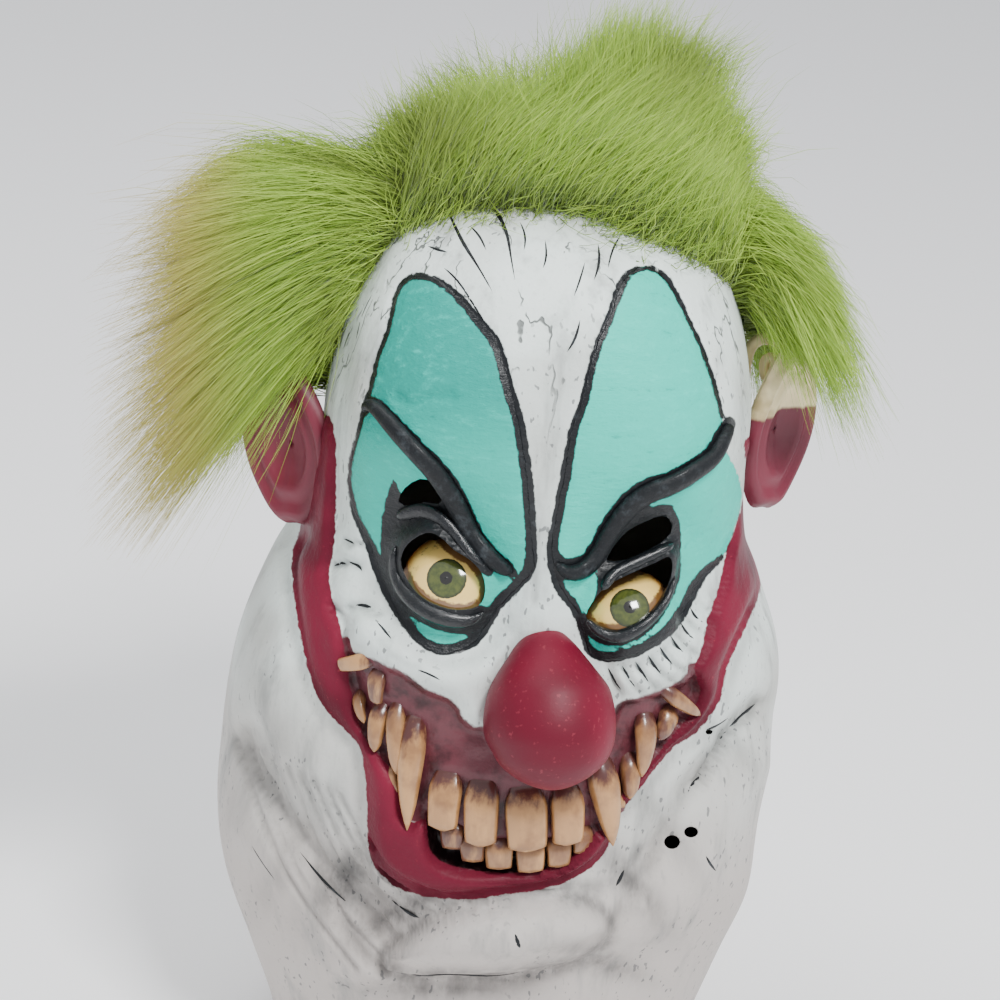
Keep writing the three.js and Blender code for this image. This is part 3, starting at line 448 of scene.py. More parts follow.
# The lids: rise, half width in pixels, clearance over the ball, and rounding where they meet
LID_RISE = 3.0
LID_HALF = 15.0
LID_OVER_BALL = 0.9
LID_ROUNDING = 4.0
LID_FROM, LID_TO = -60, -30
NO_BALL = -100.0


def lip_height(y):
    return LIP_RISE + LIP_MORE * smoothstep(y, LIP_FROM, LIP_TO)


def fine_relief(x, y, base, normal, broad_rise):
    """Rise in mm of the folds, lumps, lips, gums and eye sockets, and how much shade is painted in the
    creases, the hollows and beside the pads.
    """
    rise = np.zeros(x.shape)
    painted_shade = np.zeros(x.shape)
    for row in LUMPS:
        rise += row[5] * np.exp(-leaned(x, y, row))
    # Painted shade along the bottoms of the creases
    for line, half, depth, dark in FOLDED:
        near = np.exp(-(stroke(x, y, line) / half) ** 2)
        rise -= depth * near
        painted_shade = np.maximum(painted_shade, dark * near)
    for loop, half in LIPS:
        inside = np.clip(loop_depth(x, y, loop) / half, 0, 1)
        rise += lip_height(y) * (1 - (1 - inside) ** 2)
    for loop, half, height in PADS:
        edge = loop_depth(x, y, loop)
        rise += height * (1 - (1 - np.clip(edge / half, 0, 1)) ** 2)
        # Painted shadow just outside each pad's edge
        beside = np.exp(-((edge + PAD_SHADOW) / (2 * PAD_SHADOW)) ** 2)
        painted_shade = np.maximum(painted_shade, PAD_SHADOW_DARKNESS * height * beside)
    rise -= MOUTH_SUNK * smoothstep(loop_depth(x, y, MOUTH), 0, MOUTH_EDGE)
    # Painted shade in the hollows
    for row in SHADE_IN_HOLLOWS:
        painted_shade = np.maximum(painted_shade, row[5] * np.exp(-leaned(x, y, row)))
    rise -= THROAT_SUNK * smoothstep(loop_depth(x, y, THROAT), 0, THROAT_EDGE)
    for loop in (TEAL_LEFT, TEAL_RIGHT):
        rise -= TEAL_SUNK * np.exp(-(loop_depth(x, y, loop) / TEAL_EDGE) ** 2)
    for eye in EYES.values():
        to_ball = eye["centre"] - base
        along = np.sum(to_ball * normal, -1)
        off = np.sum(to_ball * to_ball, -1) - along ** 2
        ball = along + np.sqrt(np.maximum(BALL_RADIUS ** 2 - off, 0)) + LID_OVER_BALL
        ball = np.where(off < BALL_RADIUS ** 2, ball, NO_BALL)
        edge = np.minimum(loop_depth(x, y, eye["loop"]), 0)
        own = broad_rise + rise
        lid = own + (LID_RISE - own) * np.exp(-(edge / LID_HALF) ** 2)
        near = smoothstep(edge, LID_FROM, LID_TO)
        top = own * (1 - near) + lid * near
        rise += 0.5 * (top + ball + np.sqrt((top - ball) ** 2 + LID_ROUNDING)) - own
    return rise, painted_shade


# Where the broad and the fine relief begin and are full, as the latex turns to the photo's camera
BROAD_FROM, BROAD_TO = -0.1, 0.35
DETAIL_FROM, DETAIL_TO = 0.0, 0.5


def facing(normal):
    """1 where the latex faces the photo's camera, fading to 0 at the sides."""
    return smoothstep(normal @ BACKWARD, BROAD_FROM, BROAD_TO)


# Meshes

def mesh_object(name, points, faces, flat=False):
    """A mesh in metres from points in mm, with faces as an array or as lists of corners."""
    data = bpy.data.meshes.new(name)
    if isinstance(faces, np.ndarray):
        count, sides = faces.shape
        data.vertices.add(len(points))
        data.vertices.foreach_set("co", (np.asarray(points, float) * MM).astype(np.float32).ravel())
        data.loops.add(count * sides)
        data.loops.foreach_set("vertex_index", faces.astype(np.int32).ravel())
        data.polygons.add(count)
        data.polygons.foreach_set("loop_start", np.arange(0, count * sides, sides, dtype=np.int32))
        data.update(calc_edges=True)
    else:
        data.from_pydata((np.asarray(points, float) * MM).tolist(), [], faces)
        data.update()
    data.polygons.foreach_set("use_smooth", np.full(len(data.polygons), not flat))
    obj = bpy.data.objects.new(name, data)
    bpy.context.collection.objects.link(obj)
    return obj


def write_attribute(obj, name, values):
    layer = obj.data.attributes.new(name, "FLOAT", "POINT")
    layer.data.foreach_set("value", np.asarray(values, np.float32))


def vertex_vectors(obj, kind):
    """A row for each vertex of its "co" in metres or its "normal"."""
    flat = np.empty(3 * len(obj.data.vertices), np.float32)
    obj.data.vertices.foreach_get(kind, flat)
    return flat.reshape(-1, 3).astype(float)


def grid_faces(rows, columns, first=0):
    """Quads between rings of points, as corners of each."""
    r, c = np.meshgrid(np.arange(rows - 1), np.arange(columns), indexing="ij")
    a = first + r * columns + c
    b = first + r * columns + (c + 1) % columns
    return np.stack([a, a + columns, b + columns, b], -1).reshape(-1, 4)


def lofted(rings):
    """Points and faces of a closed body through rings of points."""
    rows, columns = rings.shape[:2]
    points = rings.reshape(-1, 3)
    faces = [list(f[::-1]) for f in grid_faces(rows, columns)]
    faces.append(list(range(columns)))
    faces.append(list(range(rows * columns - 1, (rows - 1) * columns - 1, -1)))
    return points, faces


def joined(name, bodies, flat=False):
    """One mesh out of several bodies of points and faces."""
    points = np.vstack([p for p, _ in bodies])
    faces = []
    start = 0
    for p, f in bodies:
        faces += [[i + start for i in face] for face in f]
        start += len(p)
    return mesh_object(name, points, faces, flat)


FRONT_COLUMNS = 288
BACK_COLUMNS = 92
FRONT_ANGLE = math.radians(100)
CROWN_ROWS = 24
CROWN_SHARE = 0.07
FACE_ROWS = 200
INNER_STEP = 4
HEM_SHARE = 0.08
ROUNDS = 4


def shell_turns():
    """Turns of the shell's columns, closer together in front."""
    front = np.linspace(-FRONT_ANGLE, FRONT_ANGLE, FRONT_COLUMNS, endpoint=False)
    back = np.linspace(FRONT_ANGLE, 2 * math.pi - FRONT_ANGLE, BACK_COLUMNS, endpoint=False)
    return np.concatenate([front, back])


def shell_places():
    """Places of the shell's rows, closer together at the crown."""
    dense = np.linspace(0, 1, 2000)
    down = section(dense)[0]
    crown = CROWN_SHARE * np.linspace(0.08, 1, CROWN_ROWS, endpoint=False) ** 2
    face = np.linspace(CROWN_SHARE, 1.0, FACE_ROWS)
    return np.interp(np.concatenate([crown, face]), down, dense)


places, turns = np.meshgrid(shell_places(), shell_turns(), indexing="ij")
base = head_point(places, turns)
normal = head_normal(places, turns)
fade = facing(normal) * smoothstep(1 - places, 0, HEM_SHARE)
broad = base + normal * (broad_relief(*pixel(base)) * fade)[..., None]
rows, columns = places.shape

# The bare head with its broad relief is what pixels are set down on.
base_tree = BVHTree.FromPolygons(broad.reshape(-1, 3).tolist(), grid_faces(rows, columns).tolist())


def on_head(x, y, lift=0.0):
    """The point of the broad head seen at a pixel, lifted along the normal, and the normal."""
    location, facet, _, _ = base_tree.ray_cast(Vector(EYE), Vector(ray(x, y)), 3 * DISTANCE)
    n = np.array(facet)
    if n @ BACKWARD < 0:
        n = -n
    return np.array(location) + n * lift, n


for eye in EYES.values():
    seat, seat_normal = on_head(*eye["seat"])
    eye["centre"] = seat - seat_normal * BALL_SINK
    line = ray(*eye["iris"])
    gap = eye["centre"] - EYE
    near = gap @ line - math.sqrt(max(BALL_RADIUS ** 2 - gap @ gap + (gap @ line) ** 2, 0))
    eye["gaze"] = unit(EYE + line * near - eye["centre"])

skin = broad
broad_rise = broad_relief(*pixel(base))
detail = smoothstep(normal @ BACKWARD, DETAIL_FROM, DETAIL_TO) * smoothstep(1 - places, 0, HEM_SHARE)
for _ in range(ROUNDS):
    x, y = pixel(skin)
    rise, painted_shade = fine_relief(x, y, base, normal, broad_rise)
    lift = broad_rise * fade + rise * detail
    skin = base + normal * lift[..., None]

# The inside keeps under the lowest latex near it.
low = lift.copy()
for k in range(1, 2 * INNER_STEP + 1):
    low = np.minimum(low, np.minimum(np.roll(lift, k, 1), np.roll(lift, -k, 1)))
lowest = low.copy()
for k in range(1, 2 * INNER_STEP + 1):
    up = np.vstack([low[k:], np.repeat(low[-1:], k, 0)])
    down = np.vstack([np.repeat(low[:1], k, 0), low[:-k]])
    lowest = np.minimum(lowest, np.minimum(up, down))
inner = base + normal * (lowest - WALL)[..., None]
inner[-1] = skin[-1] - normal[-1] * [1, 1, 0] * WALL
inner[-1, :, 2] = -HEIGHT
skin[-1, :, 2] = -HEIGHT
keep = np.unique(np.concatenate([np.arange(0, rows - 1, INNER_STEP), [rows - 1]]))
inner = inner[keep][:, ::INNER_STEP]
inner_rows, inner_columns = inner.shape[:2]


def shell_mesh():
    points = np.vstack([skin.reshape(-1, 3), inner.reshape(-1, 3), [[0, 0, 0]], [[0, 0, -WALL]]])
    start = rows * columns
    faces = grid_faces(rows, columns).tolist()
    faces += [f[::-1] for f in grid_faces(inner_rows, inner_columns, start).tolist()]
    top, bottom = len(points) - 2, len(points) - 1
    faces += [[top, c, (c + 1) % columns] for c in range(columns)]
    faces += [[bottom, start + (c + 1) % inner_columns, start + c] for c in range(inner_columns)]
    rim = (rows - 1) * columns
    inner_rim = start + (inner_rows - 1) * inner_columns
    for c in range(inner_columns):
        outer = [rim + (INNER_STEP * c + k) % columns for k in range(INNER_STEP + 1)]
        faces.append([inner_rim + (c + 1) % inner_columns] + outer[::-1] + [inner_rim + c])
    return mesh_object("latex_shell", points, faces)


shell = shell_mesh()


def cutter(loop, near, far):
    """A body that the camera sees as a loop, from a distance in front of the latex to one behind."""
    middle = loop.mean(0)
    point, _ = on_head(*middle)
    reach = np.linalg.norm(point - EYE)
    rings = np.array([[EYE + ray(*p) * (reach + d) for p in loop] for d in (near, far)])
    points, faces = lofted(rings)
    return mesh_object("cutter", points, faces, True)


def circle(x, y, wide, tall):
    angles = round_angles(14)
    return np.stack([x + wide * np.cos(angles), y + tall * np.sin(angles)], -1)


def cut(obj, tools):
    """Takes closed bodies away from a mesh."""
    for tool in tools:
        bpy.context.view_layer.objects.active = tool
        for o in bpy.context.selected_objects:
            o.select_set(False)
        tool.select_set(True)
        bpy.ops.object.mode_set(mode="EDIT")
        bpy.ops.mesh.select_all(action="SELECT")
        bpy.ops.mesh.normals_make_consistent(inside=False)
        bpy.ops.object.mode_set(mode="OBJECT")
        step = obj.modifiers.new("cut", "BOOLEAN")
        step.object = tool
        step.operation = "DIFFERENCE"
        step.solver = "MANIFOLD"
        graph = bpy.context.evaluated_depsgraph_get()
        result = bpy.data.meshes.new_from_object(obj.evaluated_get(graph))
        obj.modifiers.clear()
        obj.data = result
        bpy.data.objects.remove(tool)


# Round holes by the jaw and the cheek. Columns: x, y and half sizes.
HOLES = [(672, 842, 8, 7), (691, 832, 7, 5.5), (709, 732, 3.5, 2.5)]
# Where cuts begin and end, in mm behind the latex
SLOT_CUT = (-30, 34)
EYE_CUT = (-40, 28)
HOLE_CUT = (-20, 20)
cut(shell, [*[cutter(loop, *SLOT_CUT) for loop in (SLOT_LEFT, SLOT_RIGHT)],
            *[cutter(loop, *EYE_CUT) for loop in (EYE_LEFT, EYE_RIGHT)],
            *[cutter(circle(*hole), *HOLE_CUT) for hole in HOLES]])

# The brow ridges. Columns: x, y and half width.
BROWS = [
    [(365, 412, 4), (374, 404, 7), (396, 428, 9.5), (418, 452, 10.5), (438, 473, 11.5), (457, 502, 11.5),
     (473, 536, 11), (490, 556, 10), (504, 567, 8), (513, 573, 5)],
    [(729, 424, 7), (722, 437, 9), (712, 456, 10), (693, 470, 11), (671, 483, 12), (646, 492, 12.5),
     (626, 508, 12), (608, 532, 11), (598, 551, 11), (583, 568, 10), (567, 572, 8), (556, 562, 5)],
]

# Paint on the latex: how far each point is inside each colour, in pixels, and where it ends
TURNED_AWAY = -0.10
THINNING = 160
BARE = -60.0
# The inner wall faces the axis; the walls of creases do so less than this
INWARD = -0.72
NOT_BEHIND = -0.3
# How far gum colour spreads past the mouth, and from how near the red
GUM_SPREAD = 6
GUM_FROM_RED = -7
# Where tones begin and are full, as rows of the photo; the middle column; mm below the crown
LOW_FROM, LOW_TO = 770, 870
HIGH_FROM, HIGH_TO = 480, 330
TEAL_FROM, TEAL_TO = 380, 480
TEAL_MIDDLE = 545
# The white turns to painted shade toward the neck, from and to these mm below the crown
NECK_FROM, NECK_TO = 165, 320
spot = vertex_vectors(shell, "co") / MM
spot_normal = vertex_vectors(shell, "normal")
spot_x, spot_y = pixel(spot)
levels = section(np.linspace(0, 1, 400))
level_of = lambda column: np.interp(-spot[:, 2] / HEIGHT, levels[0], levels[column])
half_x = np.maximum(level_of(1), 0.1) * HALF_WIDTH
half_y = np.where(spot[:, 1] < 0, level_of(2) * FACE_DEPTH, level_of(3) * BACK_DEPTH) + 1.0
over_x = (spot[:, 0] - level_of(4) * HALF_WIDTH) / half_x
over_y = spot[:, 1] / half_y
round_normal = unit(np.stack([over_x * np.abs(over_x) ** 0.2 / half_x,
                              over_y * np.abs(over_y) ** 0.2 / half_y, np.zeros(len(spot))], -1))
toward = np.sum(round_normal * unit(EYE - spot), -1)
inward = np.sum(spot_normal[:, :2] * unit(spot[:, :2]), -1) < INWARD
front = (toward > NOT_BEHIND) & ~inward


def within(*loops):
    """How far each point is inside any of the loops, in pixels."""
    return np.max([loop_depth(spot_x, spot_y, loop) for loop in loops], axis=0)


def paint(name, values):
    """Paint that thins out where the latex turns away from the photo's camera."""
    away = np.maximum(TURNED_AWAY - toward, 0) * THINNING
    write_attribute(shell, name, np.where(front, values - away, BARE))


ink = within(LID_LEFT, LID_RIGHT)
for line in INK + [smooth_line(brow, False, 4) for brow in BROWS]:
    ink = np.maximum(ink, stroke(spot_x, spot_y, line))
red = within(RED_LEFT, RED_RIGHT)
mouth = within(MOUTH)
paint("teal", within(TEAL_LEFT, TEAL_RIGHT))
paint("ink", ink)
paint("red", red)
paint("gum", np.where(red > GUM_FROM_RED, mouth + GUM_SPREAD, mouth))
paint("throat", within(THROAT))
# Painted shade of the creases, hollows and pad edges, fading where the latex turns away
_, spot_painted_shade = fine_relief(spot_x, spot_y, spot, spot_normal, np.zeros(len(spot)))
write_attribute(shell, "painted_shade", np.where(front, spot_painted_shade * smoothstep(toward, 0.0, 0.3), 0.0))
write_attribute(shell, "low", smoothstep(spot_y, LOW_FROM, LOW_TO))
write_attribute(shell, "high", np.where(front, smoothstep(spot_y, HIGH_FROM, HIGH_TO), 0.0))
deep_teal = 0.05 + 0.5 * smoothstep(spot_y, TEAL_FROM, TEAL_TO)
write_attribute(shell, "pale", np.where(spot_x > TEAL_MIDDLE, 0.85, deep_teal))
write_attribute(shell, "neck", smoothstep(-spot[:, 2], NECK_FROM, NECK_TO))
write_attribute(shell, "inward", inward.astype(float))

# What stands on the latex

skin_points = skin.reshape(-1, 3)
skin_tree = BVHTree.FromPolygons(skin_points.tolist(), grid_faces(rows, columns).tolist())


def on_skin(x, y, lift=0.0):
    """The point of the latex seen at a pixel, lifted along the broad head's normal, and the normal."""
    location, _, _, _ = skin_tree.ray_cast(Vector(EYE), Vector(ray(x, y)), 3 * DISTANCE)
    _, n = on_head(x, y)
    return np.array(location) + n * lift, n


PIXEL_MM = DISTANCE / FOCAL


def rounded_ends(count, power, least):
    """Shares of the full width along a line that rounds off at its ends."""
    share = np.linspace(0, 1, count)
    return np.sqrt(np.clip(1 - np.abs(2 * share - 1) ** power, least, 1))


def ridge(points, height, sides=12, steps=5, lift=0.0, sink=0.45):
    """A rounded ridge along a line of x, y and half width, standing on the latex."""
    line = smooth_line(points, False, steps)
    places = [on_skin(x, y, lift) for x, y, _ in line]
    centre = np.array([p for p, _ in places])
    out = np.array([n for _, n in places])
    for _ in range(3):
        centre[1:-1] = (centre[:-2] + 2 * centre[1:-1] + centre[2:]) / 4
        out[1:-1] = unit(out[:-2] + 2 * out[1:-1] + out[2:])
    along = unit(np.gradient(centre, axis=0))
    side = unit(np.cross(along, out))
    taper = rounded_ends(len(line), 10, 0.02)
    half = line[:, 2] * PIXEL_MM * taper
    tall = np.minimum(height, 1.4 * line[:, 2] * PIXEL_MM) * taper
    angles = round_angles(sides)
    rings = centre[:, None] + side[:, None] * (half[:, None] * np.cos(angles))[..., None] \
        + out[:, None] * (tall[:, None] * (np.sin(angles) + 1 - 2 * sink))[..., None]
    return lofted(rings)


# The upper and the lower lids. Columns: x, y and half width.
LIDS = [
    [(397, 516, 5), (410, 512, 8), (428, 512, 10), (448, 526, 9), (466, 546, 6), (484, 566, 3)],
    [(602, 590, 4), (612, 574, 6), (634, 563, 6.5), (655, 553, 6), (674, 543, 4)],
    [(396, 545, 3), (394, 566, 6), (402, 588, 8), (420, 606, 9), (445, 618, 9), (470, 620, 7),
     (484, 612, 3)],
    [(586, 619, 4), (598, 631, 6), (620, 637, 7), (645, 624, 6), (664, 602, 5), (675, 576, 3)],
]

# Dark lines along cracks, and along the bottoms of creases as painted shade. Columns: x, y and half width.
CRACK_AND_CREASE_LINES = [
    [(488, 202, 1.6), (497, 212, 2.2), (507, 232, 1.6), (510, 252, 1.2), (515, 280, 0.5)],
    [(449, 214, 0.8), (455, 226, 1.5), (464, 245, 2.0), (478, 266, 1.4), (492, 291, 0.6)],
    [(428, 246, 0.5), (438, 250, 1.2), (447, 252, 0.5)],
    [(444, 268, 0.5), (458, 280, 1.2), (474, 305, 1.0), (486, 324, 0.5)],
    [(470, 226, 0.5), (480, 236, 1.0), (486, 250, 0.5)],
    [(598, 244, 0.5), (600, 262, 1.4), (594, 280, 0.5)],
    [(580, 320, 0.5), (576, 338, 1.2), (567, 352, 0.5)],
    [(545, 240, 0.4), (547, 256, 0.9), (543, 268, 0.4)],
    [(620, 236, 0.5), (612, 250, 1.0), (608, 268, 0.5)],
    [(520, 222, 0.4), (526, 236, 0.9), (524, 250, 0.4)],
    [(585, 262, 0.4), (580, 280, 0.9), (574, 296, 0.4)],
    [(372, 295, 0.4), (362, 315, 0.9), (356, 340, 0.4)],
    [(515, 934, 0.8), (518, 942, 2.0), (520, 948, 0.8)],
    [(334, 566, 0.6), (346, 561, 1.6), (359, 566, 1.2), (362, 571, 0.5)],
    [(344, 539, 0.5), (352, 542, 1.4), (362, 545, 0.5)],
    [(352, 606, 0.5), (366, 604, 1.4), (380, 613, 0.6)],
    [(377, 622, 0.4), (384, 630, 1.0), (392, 640, 0.4)],
    [(418, 670, 0.4), (430, 674, 1.0), (440, 680, 0.4)],
    [(402, 970, 0.6), (421, 977, 1.8), (446, 973, 2.2), (488, 977, 1.4), (520, 972, 0.5)],
    [(755, 704, 1.0), (742, 716, 2.5), (728, 729, 2.0), (718, 742, 0.8)],
    [(728, 718, 0.6), (716, 726, 1.6), (706, 730, 0.8)],
    [(700, 776, 1.0), (693, 784, 2.0), (688, 792, 0.6)],
    [(706, 856, 0.6), (710, 864, 1.4), (716, 871, 0.6)],
    [(624, 870, 1.0), (620, 879, 2.0), (616, 886, 0.8)],
    [(420, 918, 0.8), (405, 912, 1.8), (392, 900, 0.8)],
    [(300, 852, 0.4), (322, 880, 1.2), (350, 905, 0.4)],
    [(262, 800, 0.4), (282, 832, 1.2), (300, 860, 0.4)],
    [(252, 846, 0.4), (262, 862, 1.2), (275, 880, 0.4)],
]
# Stitch-like dark lines along the creases under the right eye, painted shade, side by side from this pixel
STITCHES = 8
STITCH_X, STITCH_Y = 608, 668
for k in range(STITCHES):
    x = STITCH_X + 14.5 * k - 0.4 * k * k
    y = STITCH_Y - 1.0 * k - 1.1 * k * k
    CRACK_AND_CREASE_LINES.append([(x, y, 0.5), (x + 7, y + 12, 1.2), (x + 13, y + 22 - k, 0.5)])

TOOTH_STEPS = 14
TOOTH_SIDES = 20
TOOTH_SUNK = 4.0
TOOTH_ARCH = 3.0
TOOTH_NECK = 0.62
NECK_SHARE = 0.35
GROOVES = 7
GROOVE_DEEP = 0.035
# Teeth with broad tips and pointed ones: how they narrow, where and over what share they round off,
# their depth over their width, and the power that squares their section
BLUNT = {"narrow": 1.3, "end": 0.90, "over": 0.102, "deep": 0.55, "square": 0.62}
POINTED = {"narrow": 2.0, "end": 0.75, "over": 0.252, "deep": 0.85, "square": 0.95}


def tooth(root, tip, half, tip_share, lift, stain):
    """A tooth as points and faces, with shares along it and its stain at each point."""
    kind = BLUNT if tip_share > 0.5 else POINTED
    share = np.linspace(0, 1, TOOTH_STEPS)
    top, n0 = on_skin(*root, -TOOTH_SUNK)
    end, n1 = on_head(*tip, lift)
    out = unit(n0 + n1)
    arch = TOOTH_ARCH * np.sin(math.pi * share ** 0.7)
    centre = top + (end - top) * share[:, None] + out * arch[:, None]
    along = unit(end - top)
    side = unit(np.cross(along, out))
    out = np.cross(side, along)
    wide = half * PIXEL_MM * (1 - (1 - tip_share) * share ** kind["narrow"])
    rounding = np.clip((share - kind["end"]) / kind["over"], 0, 1)
    neck = TOOTH_NECK + (1 - TOOTH_NECK) * np.sin(math.pi / 2 * np.clip(share / NECK_SHARE, 0, 1))
    wide = wide * np.sqrt(np.clip(1 - rounding ** 2, 0.03, 1)) * neck
    deep = np.minimum(wide, half * PIXEL_MM) * kind["deep"]
    angles = round_angles(TOOTH_SIDES)
    grooves = 1 + GROOVE_DEEP * np.sin(GROOVES * angles + 3 * half)
    c, s = (np.sign(v) * np.abs(v) ** kind["square"] * grooves for v in (np.cos(angles), np.sin(angles)))
    rings = centre[:, None] + side * (wide[:, None] * c)[..., None] + out * (deep[:, None] * s)[..., None]
    return lofted(rings), np.repeat(share, TOOTH_SIDES), np.full(TOOTH_STEPS * TOOTH_SIDES, stain)


# Shaders

def srgb(*values):
    """Linear colour of an sRGB colour from 0 to 255."""
    v = np.array(values) / 255
    return tuple(np.where(v < 0.04045, v / 12.92, ((v + 0.055) / 1.055) ** 2.4)) + (1.0,)


class Shader:
    def __init__(self, name, roughness=0.5, coat=0.0):
        self.material = bpy.data.materials.new(name)
        self.material.use_nodes = True
        self.tree = self.material.node_tree
        self.surface = self.tree.nodes["Principled BSDF"]
        self.surface.inputs["Roughness"].default_value = roughness
        self.surface.inputs["Coat Weight"].default_value = coat
        self.surface.inputs["Coat Roughness"].default_value = 0.12
        self.place = self.tree.nodes.new("ShaderNodeTexCoord").outputs["Object"]

    def put(self, socket, value):
        if isinstance(value, bpy.types.NodeSocket):
            self.tree.links.new(value, socket)
        else:
            socket.default_value = value

    def set(self, name, value):
        self.put(self.surface.inputs[name], value)

    def node(self, kind, inputs, **settings):
        """A new node with its settings, and its inputs as values or links."""
        made = self.tree.nodes.new("ShaderNode" + kind)
        for name, value in settings.items():
            setattr(made, name, value)
        for name, value in inputs.items():
            self.put(made.inputs[name], value)
        return made

    def attribute(self, name):
        return self.node("Attribute", {}, attribute_name=name).outputs["Fac"]

    def noise(self, scale, detail=3.0, rough=0.55, stretch=None):
        place = self.place
        if stretch:
            place = self.node("Mapping", {"Scale": stretch, "Vector": place}).outputs["Vector"]
        look = {"Scale": scale, "Detail": detail, "Roughness": rough, "Vector": place}
        return self.node("TexNoise", look).outputs["Fac"]

    def math(self, kind, a, b=0.0, c=0.0):
        return self.node("Math", {0: a, 1: b, 2: c}, operation=kind).outputs["Value"]

    def times(self, a, b):
        return self.math("MULTIPLY", a, b)

    def plus(self, a, b):
        return self.math("ADD", a, b)

    def ragged(self, scale, detail, rough, size):
        """Noise from minus to plus half a size, for ragged edges."""
        return self.math("MULTIPLY_ADD", self.noise(scale, detail, rough), size, -size / 2)

    def step(self, value, low, high, to_low=0.0, to_high=1.0):
        """A value's rise from one level to another, taken smoothly to new levels."""
        span = {"Value": value, "From Min": low, "From Max": high, "To Min": to_low, "To Max": to_high}
        return self.node("MapRange", span, interpolation_type="SMOOTHSTEP").outputs["Result"]

    def mix(self, share, a, b):
        """A colour between two."""
        return self.node("Mix", {0: share, 6: a, 7: b}, data_type="RGBA").outputs[2]

    def blend(self, share, a, b):
        """A number between two."""
        return self.node("Mix", {0: share, 2: a, 3: b}).outputs[0]

    def patches(self, colour, other, scale, detail, low, high, most=1.0, rough=0.55):
        """A colour with patches of another where noise is high."""
        return self.mix(self.step(self.noise(scale, detail, rough), low, high, 0.0, most), colour, other)

    def bump(self, height, distance, strength=1.0, after=None):
        made = self.node("Bump", {"Strength": strength, "Distance": distance * MM, "Height": height})
        if after is not None:
            self.put(made.inputs["Normal"], after)
        self.set("Normal", made.outputs["Normal"])
        return made.outputs["Normal"]


WHITE = srgb(234, 245, 240)
PALE = srgb(196, 200, 194)
# Darker, warmer white of the painted shade toward the neck
NECK_SHADE = srgb(194, 186, 180)
GREY = srgb(128, 130, 128)
# Grey of the veins and of the painted shade
SHADE_AND_VEIN_GREY = srgb(46, 46, 46)
TEAL = srgb(0, 152, 138)
TEAL_PALE = srgb(30, 216, 192)
TEAL_LIGHT = srgb(60, 238, 216)
TEAL_DARK = srgb(4, 116, 106)
INK_BLACK = srgb(20, 23, 26)
INK_WORN = srgb(58, 64, 68)
RED = srgb(122, 36, 56)
RED_DARK = srgb(84, 24, 38)
RED_WORN = srgb(150, 52, 66)
GUM = srgb(98, 48, 56)
GUM_DARK = srgb(58, 26, 31)
MAROON = srgb(26, 8, 11)
CREAM = srgb(240, 222, 176)


